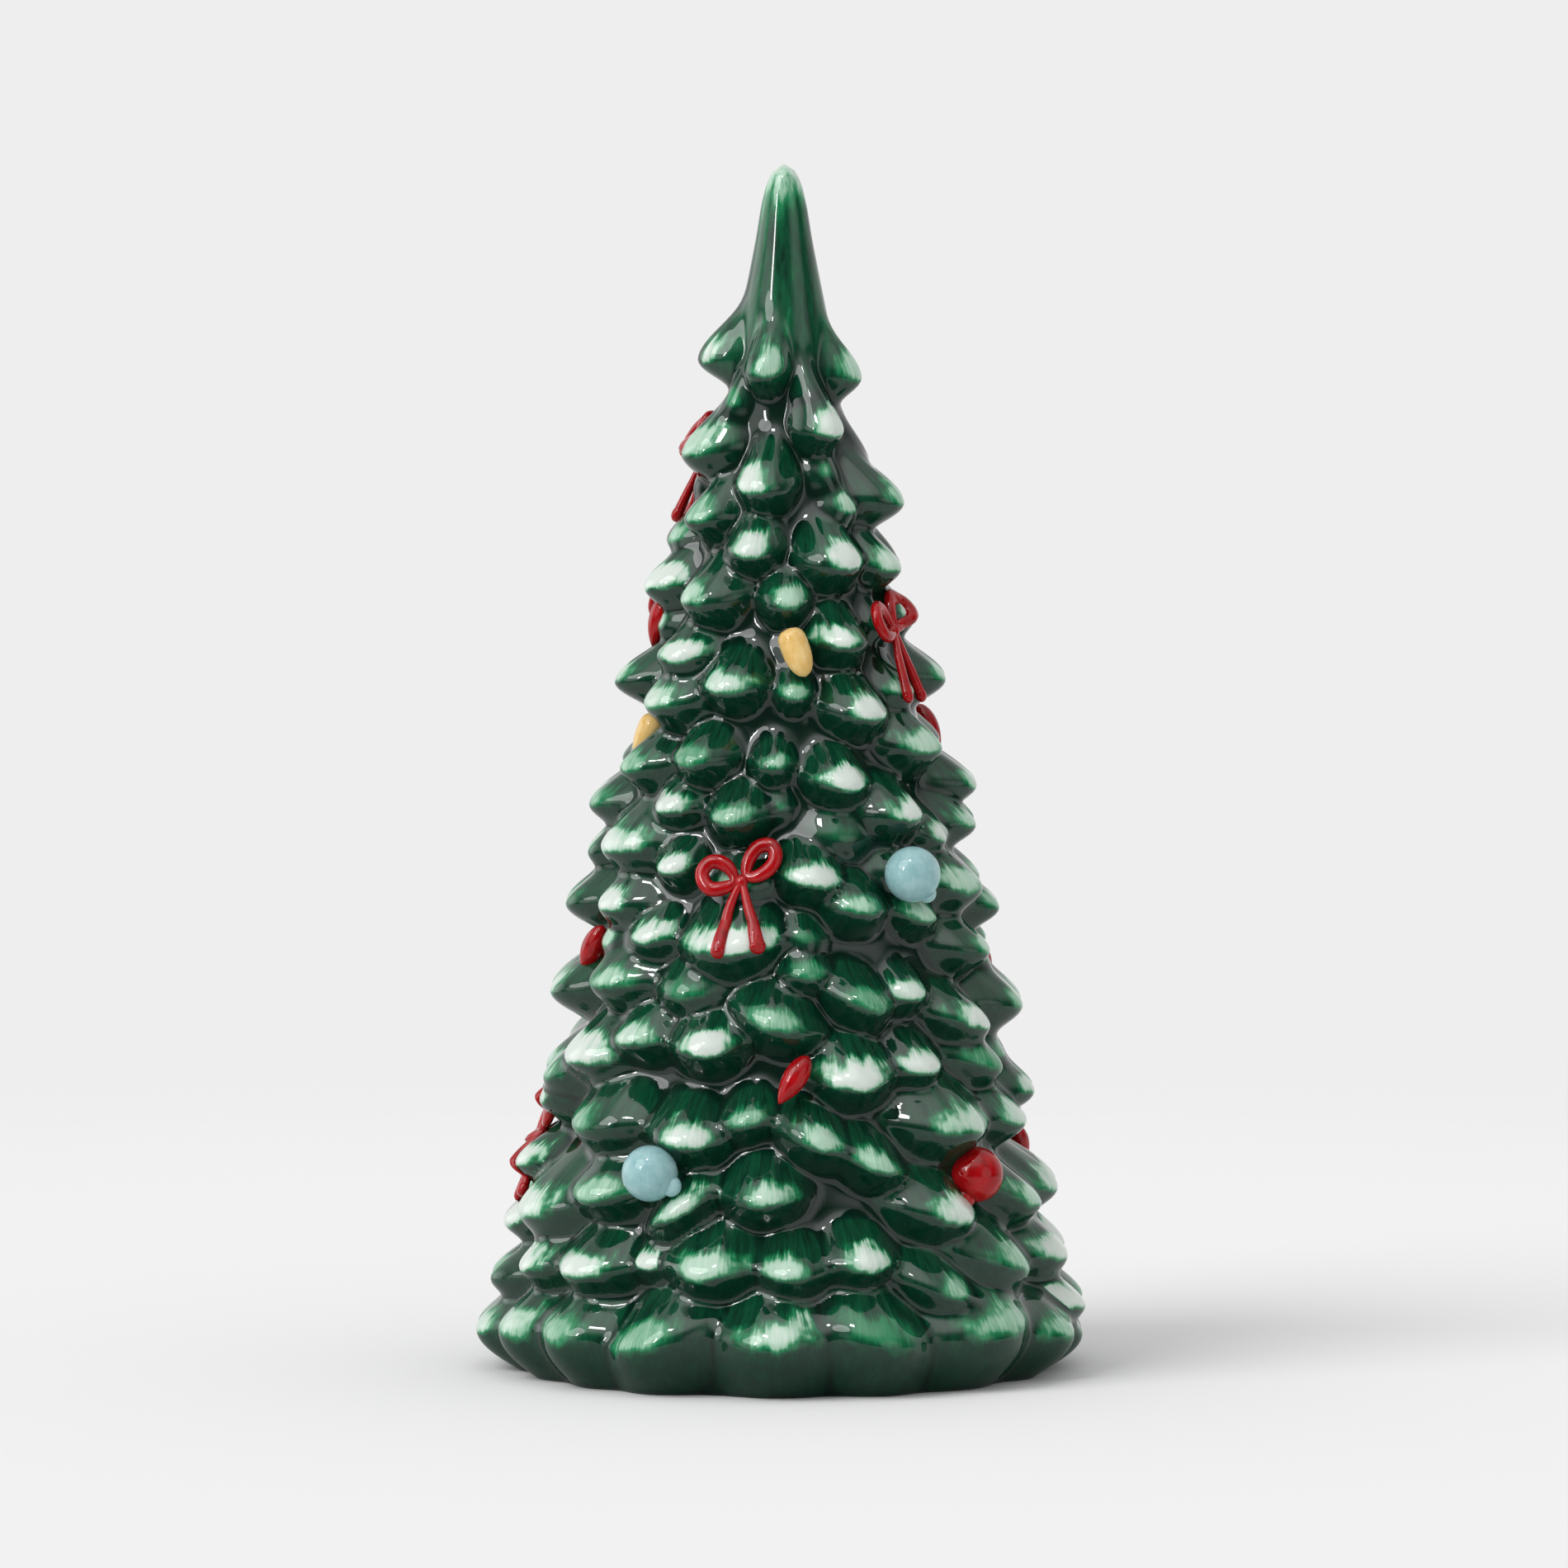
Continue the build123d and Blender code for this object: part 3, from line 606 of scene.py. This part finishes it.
@dataclass
class TreeForm:
    """Relief of the tree, in millimetres: a tapering core under rows of branch tips."""

    height: float = 250.0
    foot_radius: float = 54.4
    foot_reach: float = 11.3
    crown_reach: float = 7.9
    slope_run: float = 4.6
    lip_drop: float = 3.2
    spire_run: float = 14.0
    spire_start_share: float = 0.60
    sweep: float = 1.45
    crown_sweep: float = 1.95
    curl: float = 1.2
    foot_curl: float = 0.75
    softness: float = 1.8
    fillet: float = 2.3
    crown_start_share: float = 0.72
    crown_softness: float = 6.5
    crown_fillet: float = 2.0
    spread: float = 1.52
    slim_width: float = 11.5
    slim_share: float = 0.6
    slope_share: float = 0.54
    drop_share: float = 0.33
    lip_bow: float = 0.16
    root_share: float = 0.6
    heel_share: float = 0.85
    fullness: float = 2.1
    feather: float = 1.3
    foot_row_share: float = 0.055
    foot_hang: float = 1.22
    foot_heel_share: float = 1.25
    groove_depth: float = 0.085
    groove_start: float = 3.0
    groove_gain: float = 1.6
    fingers: float = 3.4
    finger_spread: float = 1.6
    finger_shift: float = 6.0
    crease_width: float = 3.0
    least_white: float = 0.54
    white_spread: float = 0.54
    short_white: float = 0.35
    reach_white: float = 0.7
    foot_white_share: float = 0.8
    draw_seed: int = 7
    branches: list[Branch] = field(default_factory=list)

    def __post_init__(self) -> None:
        """Lists the branches of both halves, each with its own seed."""
        draws = np.random.default_rng(self.draw_seed)
        for turn, share, half_turn, tilt, reach_share in BRANCH_SHARES:
            self.branches.append(self._branch(turn, share, half_turn, tilt, reach_share, draws))
            self.branches.append(
                self._branch(180.0 - turn, share, half_turn, -tilt, reach_share, draws)
            )

    def _branch(
        self,
        turn: float,
        share: float,
        half_turn: float,
        tilt: float,
        reach_share: float,
        draws: np.random.Generator,
    ) -> Branch:
        """One branch from its row of the table.

        Args:
            turn: degrees round the tree from the front.
            share: share of the height.
            half_turn: half its width, in degrees round the tree.
            tilt: tilt of its lip, in degrees.
            reach_share: share of the full reach at that height.
            draws: source of the seeds.

        Returns:
            The branch.
        """
        height = share * self.height
        reach = self.reach(share) * reach_share
        radius = self.core_at(height) + reach
        half_width = radius * math.radians(half_turn) * self.spread
        reach *= min(max(half_width / self.slim_width, self.slim_share), 1.0)
        rise = max(share - self.spire_start_share, 0.0) / (1.0 - self.spire_start_share)
        drop = self.drop_share * half_width + self.lip_drop
        heel, curl = self.heel_share, self.curl
        if share < self.foot_row_share:
            drop = max(drop, self.foot_hang * height)
            heel, curl = self.foot_heel_share, self.foot_curl
        seed = float(draws.random())
        white = self.least_white + self.white_spread * float(draws.random())
        white *= min(1.0, self.short_white + self.reach_white * reach_share)
        if share < self.foot_row_share:
            white *= self.foot_white_share
        return Branch(
            turn, height, reach, radius, half_width, math.tan(math.radians(tilt)),
            self.slope_share * half_width + self.slope_run + self.spire_run * rise, drop,
            self.sweep + self.crown_sweep * rise, heel, curl, self.groove_depth * (1.0 - rise),
            self.fillet + self.crown_fillet * rise, seed, white,
        )

    def reach(self, share: float) -> float:
        """How far a full branch stands out of the core at a share of the height."""
        return self.foot_reach + (self.crown_reach - self.foot_reach) * share

    def core_at(self, height: float) -> float:
        """Core radius at one height, both in millimetres."""
        return float(self.core(np.array([height]))[0])

    def core(self, heights: np.ndarray) -> np.ndarray:
        """Core radius at heights, run smoothly through the listed shares.

        Args:
            heights: heights in millimetres.

        Returns:
            Radii in millimetres.
        """
        marks = np.array(CORE_SHARES)
        at, radius = marks[:, 0], marks[:, 1]
        lean = np.gradient(radius, at)
        share = np.clip(heights / self.height, 0.0, 1.0)
        low = np.clip(np.searchsorted(at, share, side="right") - 1, 0, len(at) - 2)
        gap = at[low + 1] - at[low]
        t = (share - at[low]) / gap
        blend = t * t * (3.0 - 2.0 * t)
        curve = radius[low] * (1.0 - blend) + radius[low + 1] * blend
        curve += gap * t * (1.0 - t) * ((1.0 - t) * lean[low] - t * lean[low + 1])
        return self.foot_radius * np.maximum(curve, 0.0)

    def skin(self, turns: np.ndarray, heights: np.ndarray) -> SkinField:
        """The skin at turns and heights.

        Args:
            turns: degrees round the tree from the front.
            heights: heights in millimetres.

        Returns:
            The radius there, and what the glaze needs to know of the branch that carries it.
        """
        count = len(turns)
        start = self.crown_start_share
        crown = np.clip((heights / self.height - start) / (1.0 - start), 0.0, 1.0)
        soft = self.softness + self.crown_softness * crown
        swell, best, second = np.zeros(count), np.zeros(count), np.zeros(count)
        fan, along = np.zeros(count), np.full(count, -1.0)
        seed, white = np.zeros(count), np.zeros(count)
        for branch in self.branches:
            across = branch.radius * np.radians((turns - branch.turn + 180.0) % 360.0 - 180.0)
            lip = branch.slope * across + self.lip_bow * across * across / branch.half_width
            above = heights - branch.height - lip
            reaches = np.abs(across) < branch.half_width * max(branch.heel, 1.0)
            inside = reaches & (above < branch.run) & (above > -branch.drop)
            at = np.flatnonzero(inside)
            share = np.where(above[at] >= 0.0, above[at] / branch.run, above[at] / branch.drop)
            upper = share >= 0.0
            bell = np.cos(math.pi / 2.0 * np.abs(share))
            profile = np.where(upper, bell**branch.sweep, bell**branch.curl)
            taper = np.where(upper, 1.0 - self.root_share, 1.0 - branch.heel)
            side = across[at] / (branch.half_width * (1.0 - taper * np.abs(share)))
            width = 1.0 - np.clip(np.abs(side), 0.0, 1.0) ** self.fullness
            width **= 1.0 + self.feather * np.abs(share)
            ridges = self.fingers + self.finger_spread * branch.seed
            fingers = np.cos(math.pi * ridges * side + self.finger_shift * branch.seed)
            grooved = np.clip(share * self.groove_start, 0.0, 1.0)
            grooved = grooved * (1.0 - np.clip(share, 0.0, 1.0)) * self.groove_gain
            shape = profile * width * (1.0 - branch.groove * grooved * (0.5 + 0.5 * fingers))
            full = math.sqrt((branch.reach + branch.fillet) ** 2 - branch.fillet**2)
            relief = np.hypot(full * shape, branch.fillet) - branch.fillet
            swell[at] += np.expm1(relief / soft[at])
            leads = relief > best[at]
            second[at] = np.where(leads, best[at], np.maximum(second[at], relief))
            top = at[leads]
            best[top] = relief[leads]
            fan[top], along[top] = side[leads], share[leads]
            seed[top], white[top] = branch.seed, branch.white
        radius = self.core(heights) + soft * np.log1p(swell)
        crease = np.clip((best - second) / self.crease_width, 0.0, 1.0)
        return SkinField(radius, fan, along, seed, crease, white)


@dataclass
class Seat:
    """Place on the tree that an ornament is luted to, with its own axes."""

    form: TreeForm
    turn: float
    share: float
    lean: float
    spin: float
    facing: float
    rise_share: float

    def __post_init__(self) -> None:
        """Works out the seat's middle and axes."""
        height = self.share * self.form.height
        place, tip, roll = (math.radians(a) for a in (self.turn, self.lean, self.spin))
        angle = math.radians(self.turn + self.facing)
        radius = self.form.core_at(height) + self.form.reach(self.share) * self.rise_share
        outward = Vector((math.sin(angle), -math.cos(angle), 0.0))
        across = Vector((math.cos(angle), math.sin(angle), 0.0))
        self.middle = Vector((radius * math.sin(place), -radius * math.cos(place), height))
        self.out = outward * math.cos(tip) + Vector((0.0, 0.0, math.sin(tip)))
        up = self.out.cross(across)
        self.across = across * math.cos(roll) + up * math.sin(roll)
        self.up = up * math.cos(roll) - across * math.sin(roll)

    def lay(self, points: np.ndarray, sink: float) -> np.ndarray:
        """Lays a flat shape over the branches under the seat.

        Args:
            points: places across, up and out of the seat, in millimetres.
            sink: how far the shape may follow the skin below the seat's own flat.

        Returns:
            The same points round the tree, in millimetres.
        """
        flat = np.array(self.middle) + np.outer(points[:, 0], self.across)
        flat = flat + np.outer(points[:, 1], self.up)
        turns = np.degrees(np.arctan2(flat[:, 0], -flat[:, 1]))
        radius = np.hypot(flat[:, 0], flat[:, 1])
        skin = self.form.skin(turns, flat[:, 2]).radius
        carried = np.maximum(skin, radius - sink)
        laid = flat.copy()
        laid[:, 0] *= carried / radius
        laid[:, 1] *= carried / radius
        return laid + np.outer(points[:, 2], self.out)

    def set(self, points: np.ndarray) -> np.ndarray:
        """Sets a rigid shape on the seat's flat.

        Args:
            points: places across, up and out of the seat, in millimetres.

        Returns:
            The same points round the tree, in millimetres.
        """
        axes = np.array([self.across, self.up, self.out])
        return np.array(self.middle) + points @ axes


def add_object(name: str, data: bpy.types.ID) -> bpy.types.Object:
    """Adds an object to the scene.

    Args:
        name: its name.
        data: the mesh, lamp or camera that it shows.

    Returns:
        The new object.
    """
    made = bpy.data.objects.new(name, data)
    bpy.context.scene.collection.objects.link(made)
    return made


def spin_line(shape: Shape, points: list[Colour], axis: Colour, steps: int, weld: float) -> None:
    """Spins a line all the way round an axis through the origin.

    Args:
        shape: mesh that takes the spun skin.
        points: the line's points, in order.
        axis: direction of the axis.
        steps: how many columns the skin has.
        weld: points nearer than this become one.
    """
    chain = [shape.verts.new(point) for point in points]
    links = [shape.edges.new(pair) for pair in zip(chain, chain[1:])]
    bmesh.ops.spin(
        shape, geom=chain + links, cent=(0, 0, 0), axis=axis,
        angle=2.0 * math.pi, steps=steps, use_merge=True,
    )
    bmesh.ops.remove_doubles(shape, verts=shape.verts, dist=weld)


def finish_piece(name: str, shape: Shape, finishes: list[Material]) -> bpy.types.Object:
    """Turns a shape into an object that rides on the tree.

    Args:
        name: the piece's name.
        shape: its mesh, in metres.
        finishes: its materials, in order of their slots.

    Returns:
        The new object.
    """
    mesh = bpy.data.meshes.new(name)
    bmesh.ops.recalc_face_normals(shape, faces=shape.faces)
    for face in shape.faces:
        face.smooth = True
    shape.to_mesh(mesh)
    shape.free()
    for finish in finishes:
        mesh.materials.append(finish)
    piece = add_object(name, mesh)
    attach(piece, BODY)
    return piece


@dataclass
class TreeBody:
    """The slip casting: glazed branches outside, bare clay underneath and inside."""

    form: TreeForm
    glaze: Material
    clay: Material
    columns: int = 300
    branch_rows: int = 282
    spire_rows: int = 26
    spire_share: float = 0.86
    settle: int = 4
    wall: float = 3.0
    floor_thickness: float = 4.0
    foot_ring: float = 7.0
    foot_recess: float = 1.5
    vent_radius: float = 5.0
    cavity_top_share: float = 0.80
    cavity_rows: int = 10
    weld: float = 0.00001
    axis_gap: float = 0.01
    rim_height: float = 0.0005
    tip_height: float = 0.24

    def _outline(self) -> list[Pair]:
        """The casting's half section, from the tip round to the cavity's top.

        Returns:
            Radius and height of each of its points, in millimetres.
        """
        core = self.form.core_at
        shares = np.concatenate([
            np.linspace(1.0, self.spire_share, self.spire_rows, endpoint=False),
            np.linspace(self.spire_share, 0.0, self.branch_rows),
        ])
        outline = [(core(share * self.form.height), share * self.form.height) for share in shares]
        ring = self.form.foot_radius - self.foot_ring
        floor = self.foot_recess + self.floor_thickness
        outline += [(ring, 0.0), (ring, self.foot_recess), (self.vent_radius, self.foot_recess)]
        outline += [(self.vent_radius, floor)]
        top = self.cavity_top_share * self.form.height
        for row in range(self.cavity_rows + 1):
            height = floor + (top - floor) * row / self.cavity_rows
            outline.append((core(height) - self.wall, height))
        outline.append((0.0, top + core(top) - self.wall))
        return outline

    def build(self) -> bpy.types.Object:
        """Spins the half section, raises the branches and dresses the casting.

        Returns:
            The glazed tree.
        """
        shape = bmesh.new()
        points = [(radius * MM, 0.0, height * MM) for radius, height in self._outline()]
        spin_line(shape, points, (0, 0, 1), self.columns, self.weld)
        names = ("fan", "along", "seed", "crease", "white")
        layers = {name: shape.verts.layers.float.new(name) for name in names}
        verts = list(shape.verts)
        at = np.array([vert.co for vert in verts]) / MM
        radius = np.hypot(at[:, 0], at[:, 1])
        outer = (radius > self.form.core(at[:, 2]) - self.wall / 2.0) & (radius > self.axis_gap)
        turns = np.degrees(np.arctan2(at[:, 0], -at[:, 1]))
        skin = self.form.skin(turns, at[:, 2])
        grow = np.where(outer, skin.radius / np.maximum(radius, self.axis_gap), 1.0)
        for index, vert in enumerate(verts):
            vert.co.x *= grow[index]
            vert.co.y *= grow[index]
            for name, layer in layers.items():
                vert[layer] = float(getattr(skin, name)[index])
        branches = [
            vert for vert, out in zip(verts, outer)
            if out and self.rim_height < vert.co.z < self.tip_height
        ]
        for _ in range(self.settle):
            bmesh.ops.smooth_vert(
                shape, verts=branches, factor=0.5, use_axis_x=True, use_axis_y=True, use_axis_z=True
            )
        inner = {
            vert for vert, out in zip(verts, outer) if not out and vert.co.z < self.tip_height
        }
        for face in shape.faces:
            face.material_index = 1 if any(vert in inner for vert in face.verts) else 0
        piece = finish_piece("glazed_tree", shape, [self.glaze, self.clay])
        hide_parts("tree_body")
        return piece


@dataclass
class Ornament:
    """A sprig of clay luted to the branches and painted with enamel."""

    node: str
    seat: Seat
    paint: Paint
    enamel: Material
    weld: float = 0.001

    def shape(self) -> Shape:
        """The sprig's mesh in metres."""
        raise NotImplementedError

    def build(self) -> bpy.types.Object:
        """Makes the sprig in place of its node.

        Returns:
            The dressed sprig.
        """
        piece = finish_piece("painted_" + self.node, self.shape(), [self.enamel])
        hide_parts(self.node)
        return piece

    @staticmethod
    def move(shape: Shape, placed: Callable[[np.ndarray], np.ndarray]) -> Shape:
        """Moves every point of a shape from its seat's axes to the tree.

        Args:
            shape: mesh across, up and out of the seat, in millimetres.
            placed: gives the places round the tree for such points.

        Returns:
            The same mesh in metres.
        """
        verts = list(shape.verts)
        places = placed(np.array([vert.co for vert in verts])) * MM
        for vert, place in zip(verts, places):
            vert.co = place
        return shape


@dataclass
class Bow(Ornament):
    """Tied ribbon: two loops, a knot and two tails."""

    ribbon: float = 1.5
    tail: float = 1.0
    knot_radius: float = 1.5
    knot: Pair = (-0.1, 2.8)
    flatness: float = 0.72
    sides: int = 12
    curve_steps: int = 10
    pinch: float = 0.62
    loop_swell: float = 1.06
    tail_start: float = 0.80
    tail_growth: float = 0.75
    end_balls: Pair = (1.5, 1.7)
    sink: float = 2.2

    LOOPS = (
        ((-1.0, 2.9), (-3.6, 6.6), (-7.4, 7.3), (-9.4, 4.2), (-7.2, 0.9), (-3.6, 1.3)),
        ((0.7, 3.5), (0.9, 7.4), (3.2, 10.8), (6.6, 10.6), (7.3, 7.2), (4.4, 4.2)),
    )
    TAILS = (
        ((-0.5, 2.2), (-2.3, -2.0), (-2.9, -7.0), (-3.4, -12.0)),
        ((0.3, 2.2), (1.6, -2.2), (3.4, -6.4), (4.7, -10.8)),
    )

    def _tube(self, shape: Shape, points: tuple[Pair, ...], closed: bool) -> None:
        """Adds one ribbon to the bow.

        Args:
            shape: mesh that takes it.
            points: control points of its line.
            closed: whether the line runs back to its start.
        """
        curve = bpy.data.curves.new("ribbon", "CURVE")
        curve.dimensions = "3D"
        curve.bevel_depth = self.ribbon if closed else self.tail
        curve.bevel_resolution = self.sides // 4
        curve.use_fill_caps = True
        curve.resolution_u = self.curve_steps
        spline = curve.splines.new("NURBS")
        spline.points.add(len(points) - 1)
        for index, (mark, (x, y)) in enumerate(zip(spline.points, points)):
            mark.co = (x, y, 0.0, 1.0)
            if closed:
                mark.radius = self.pinch if index == 0 else self.loop_swell
            else:
                share = index / (len(points) - 1)
                mark.radius = self.tail_start + self.tail_growth * share
        spline.order_u = 3
        spline.use_cyclic_u = closed
        spline.use_endpoint_u = not closed
        carrier = bpy.data.objects.new("ribbon", curve)
        mesh = bpy.data.meshes.new_from_object(carrier)
        shape.from_mesh(mesh)
        bpy.data.objects.remove(carrier)
        bpy.data.curves.remove(curve)
        bpy.data.meshes.remove(mesh)

    def _lay(self, points: np.ndarray) -> np.ndarray:
        """Lays the bow's points over the branches under its seat."""
        return self.seat.lay(points, self.sink)

    def shape(self) -> Shape:
        """Ties the bow.

        Returns:
            Its mesh in metres.
        """
        shape = bmesh.new()
        for loop in self.LOOPS:
            self._tube(shape, loop, True)
        for tail in self.TAILS:
            self._tube(shape, tail, False)
        ends = [tail[-1] for tail in self.TAILS] + [self.knot]
        for end, size in zip(ends, (*self.end_balls, self.knot_radius)):
            bmesh.ops.create_uvsphere(
                shape, u_segments=16, v_segments=10, radius=size, matrix=Matrix.Translation((*end, 0.0))
            )
        bmesh.ops.scale(shape, vec=(1.0, 1.0, self.flatness), verts=shape.verts)
        bmesh.ops.remove_doubles(shape, verts=shape.verts, dist=self.weld)
        return self.move(shape, self._lay)


@dataclass
class Bauble(Ornament):
    """Ball with a small cap."""

    radius: float = 5.75
    lift_share: float = 0.24
    cap_radius: float = 2.2
    cap_sink: float = 0.4
    cap_tuck: float = 0.8
    cap_flatness: float = 0.8

    def shape(self) -> Shape:
        """Sets the ball and its cap.

        Returns:
            Their mesh in metres.
        """
        shape = bmesh.new()
        lift = Matrix.Translation((0.0, 0.0, self.radius * self.lift_share))
        bmesh.ops.create_uvsphere(
            shape, u_segments=48, v_segments=28, radius=self.radius, matrix=lift
        )
        cap = bmesh.ops.create_uvsphere(
            shape, u_segments=20, v_segments=12, radius=self.cap_radius,
            matrix=lift @ Matrix.Translation((0.0, self.radius - self.cap_sink, -self.cap_tuck)),
        )
        bmesh.ops.scale(shape, vec=(1.0, 1.0, self.cap_flatness), verts=cap["verts"])
        return self.move(shape, self.seat.set)


@dataclass
class Bulb(Ornament):
    """Pointed light bulb lying on the branches."""

    radius: float = 2.5
    length: float = 11.9
    lift_share: float = 0.25
    belly_share: float = 0.58
    bluntness: float = 2.0
    taper: float = 0.85
    end_power: float = 0.6
    rows: int = 18
    steps: int = 24

    def shape(self) -> Shape:
        """Spins the bulb.

        Returns:
            Its mesh in metres.
        """
        shape = bmesh.new()
        points = []
        for row in range(self.rows + 1):
            share = row / self.rows
            if share < self.belly_share:
                belly = math.sin(math.pi / 2.0 * (share / self.belly_share) ** self.taper)
            else:
                past = (share - self.belly_share) / (1.0 - self.belly_share)
                belly = (1.0 - past**self.bluntness) ** self.end_power
            points.append((self.radius * belly, (share - 0.5) * self.length, 0.0))
        spin_line(shape, points, (0, 1, 0), self.steps, self.weld)
        bmesh.ops.translate(shape, vec=(0.0, 0.0, self.radius * self.lift_share), verts=shape.verts)
        return self.move(shape, self.seat.set)


@dataclass
class StoutBulb(Bulb):
    """Shorter bulb with a blunt end."""

    radius: float = 3.0
    length: float = 10.8
    bluntness: float = 4.5
    taper: float = 0.55


# Class of each kind of ornament, and how far its seat leans up, in degrees
MAKERS = {
    Kind.BOW: (Bow, 20.0), Kind.BAUBLE: (Bauble, 12.0), Kind.BULB: (Bulb, 15.0),
    Kind.STOUT_BULB: (StoutBulb, 15.0),
}


@dataclass(frozen=True)
class Studio:
    """Pale floor, soft light and the camera at the photograph's view."""

    camera_distance: float = 2.0
    camera_height: float = 0.242
    aim_height: float = 0.1215
    frame_width: float = 0.3256
    floor_radius: float = 1.6
    floor_colour: Colour = (0.875, 0.875, 0.875)
    backdrop: Colour = (0.855, 0.855, 0.855)
    ambient: float = 0.72
    room: float = 0.08
    floor_fade: Pair = (0.22, 0.75)
    behind: Pair = (-0.15, 0.55)
    above: Pair = (0.30, 0.80)
    key_power: float = 1.5
    key_angle: float = 38.0
    key_from: Colour = (-0.80, -0.62, 0.85)
    sight: float = 20.0

    # Soft glows that the gloss shows: where they lie, edge and heart of the glow, strength
    GLOWS = (
        ((-0.08, -0.36, 0.93), 0.80, 0.99, 1.6),
        ((-0.80, -0.55, 0.24), 0.88, 0.99, 1.8),
        ((0.72, -0.68, 0.14), 0.87, 0.99, 1.2),
        ((-0.93, 0.30, 0.20), 0.86, 0.98, 1.9),
    )
    # Name, place, width, height and power of each softbox
    SOFTBOXES = (
        ("top_box", (-0.20, -0.55, 1.15), 0.16, 0.16, 2.0),
        ("left_box", (-0.80, -0.95, 0.65), 0.10, 0.34, 2.8),
    )

    def floor(self) -> bpy.types.Object:
        """Lays the floor, which fades into the backdrop far from the tree.

        Returns:
            The floor.
        """
        shape = bmesh.new()
        bmesh.ops.create_circle(shape, cap_ends=True, segments=64, radius=self.floor_radius)
        mesh = bpy.data.meshes.new("floor")
        shape.to_mesh(mesh)
        shape.free()
        sheet = NodeSheet("floor_paper")
        place = sheet.place()
        x, y = sheet.axis(place, "X"), sheet.axis(place, "Y")
        far = (x * x + y * y).root().ease(*self.floor_fade)
        lit = sheet.node("ShaderNodeBsdfDiffuse", None, {"Color": (*self.floor_colour, 1.0)})
        clear = sheet.node("ShaderNodeBsdfTransparent")
        both = sheet.node(
            "ShaderNodeMixShader", None, {0: far, 1: lit.outputs[0], 2: clear.outputs[0]}
        )
        sheet.node("ShaderNodeOutputMaterial", None, {"Surface": both.outputs[0]})
        mesh.materials.append(sheet.material)
        ground = add_object("floor", mesh)
        return ground

    def world(self) -> None:
        """Even light all round, and the pale backdrop that the camera and the gloss see."""
        world = bpy.data.worlds.new("studio")
        world.use_nodes = True
        sheet = NodeSheet("studio", world.node_tree)
        path = sheet.node("ShaderNodeLightPath")
        camera, glossy, through = (
            Value(sheet, path.outputs[name])
            for name in ("Is Camera Ray", "Is Glossy Ray", "Is Transmission Ray")
        )
        towards = sheet.node("ShaderNodeTexCoord").outputs["Generated"]
        behind = sheet.axis(towards, "Y").ease(*self.behind)
        above = sheet.axis(towards, "Z").ease(*self.above)
        across, deep, high = (sheet.axis(towards, name) for name in "XYZ")
        gloss = self.room + (1.0 - self.room) * behind.most(above)
        for (x, y, z), edge, heart, strength in self.GLOWS:
            gloss = gloss + (across * x + deep * y + high * z).ease(edge, heart) * strength
        shown = (camera + through).least(1.0)
        shown = shown + (1.0 - shown) * gloss
        light = sheet.node(
            "ShaderNodeBackground", None, {"Color": (1.0, 1.0, 1.0, 1.0), "Strength": self.ambient}
        )
        wall = sheet.node(
            "ShaderNodeBackground", None, {"Color": (*self.backdrop, 1.0), "Strength": shown}
        )
        both = sheet.node(
            "ShaderNodeMixShader",
            None,
            {0: (camera + glossy + through).least(1.0), 1: light.outputs[0], 2: wall.outputs[0]},
        )
        sheet.node("ShaderNodeOutputWorld", None, {"Surface": both.outputs[0]})
        bpy.context.scene.world = world

    def key(self) -> None:
        """Broad key light from the upper left."""
        lamp = bpy.data.lights.new("key", "SUN")
        lamp.energy = self.key_power
        lamp.angle = math.radians(self.key_angle)
        holder = add_object("key", lamp)
        towards = Vector(self.key_from)
        holder.rotation_euler = towards.to_track_quat("Z", "Y").to_euler()

    def softbox(
        self, name: str, place: Colour, width: float, height: float, power: float
    ) -> None:
        """A softbox that the gloss shows.

        Args:
            name: its name.
            place: where it hangs, in metres.
            width: its width.
            height: its height.
            power: its power in watts.
        """
        lamp = bpy.data.lights.new(name, "AREA")
        lamp.shape = "RECTANGLE"
        lamp.size = width
        lamp.size_y = height
        lamp.energy = power
        holder = add_object(name, lamp)
        holder.location = place
        towards = Vector(place) - Vector((0.0, 0.0, self.aim_height))
        holder.rotation_euler = towards.to_track_quat("Z", "Y").to_euler()
        holder.visible_diffuse = False

    def camera(self) -> None:
        """The camera, aimed a little down at the middle of the tree."""
        lens = bpy.data.cameras.new("view")
        eye = Vector((0.0, -self.camera_distance, self.camera_height))
        aim = Vector((0.0, 0.0, self.aim_height))
        lens.angle = 2.0 * math.atan(self.frame_width / 2.0 / (eye - aim).length)
        lens.clip_end = self.sight
        holder = add_object("view", lens)
        holder.location = eye
        holder.rotation_euler = (eye - aim).to_track_quat("Z", "Y").to_euler()
        bpy.context.scene.camera = holder

    def build(self) -> None:
        """Sets up the whole studio."""
        self.camera()
        self.floor()
        self.world()
        self.key()
        for box in self.SOFTBOXES:
            self.softbox(*box)
        bpy.context.scene.view_settings.view_transform = "Standard"


def main() -> None:
    """Builds the studio and every piece of the tree."""
    logging.basicConfig(level=logging.INFO, format="%(name)s: %(message)s")
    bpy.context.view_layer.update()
    Studio().build()
    form = TreeForm()
    body = TreeBody(form, GreenGlaze().material(), Bisque().material()).build()
    log.info("%s: %d faces", body.name, len(body.data.polygons))
    enamels = {finish.paint: finish.material() for finish in ENAMELS}
    for node, kind, paint, turn, share, spin, facing, rise_share in ORNAMENT_SHARES:
        maker, lean = MAKERS[kind]
        seat = Seat(form, turn, share, lean, spin, facing, rise_share)
        piece = maker(node, seat, paint, enamels[paint]).build()
        log.info("%s: %d faces", piece.name, len(piece.data.polygons))


if __name__ == "__main__":
    main()
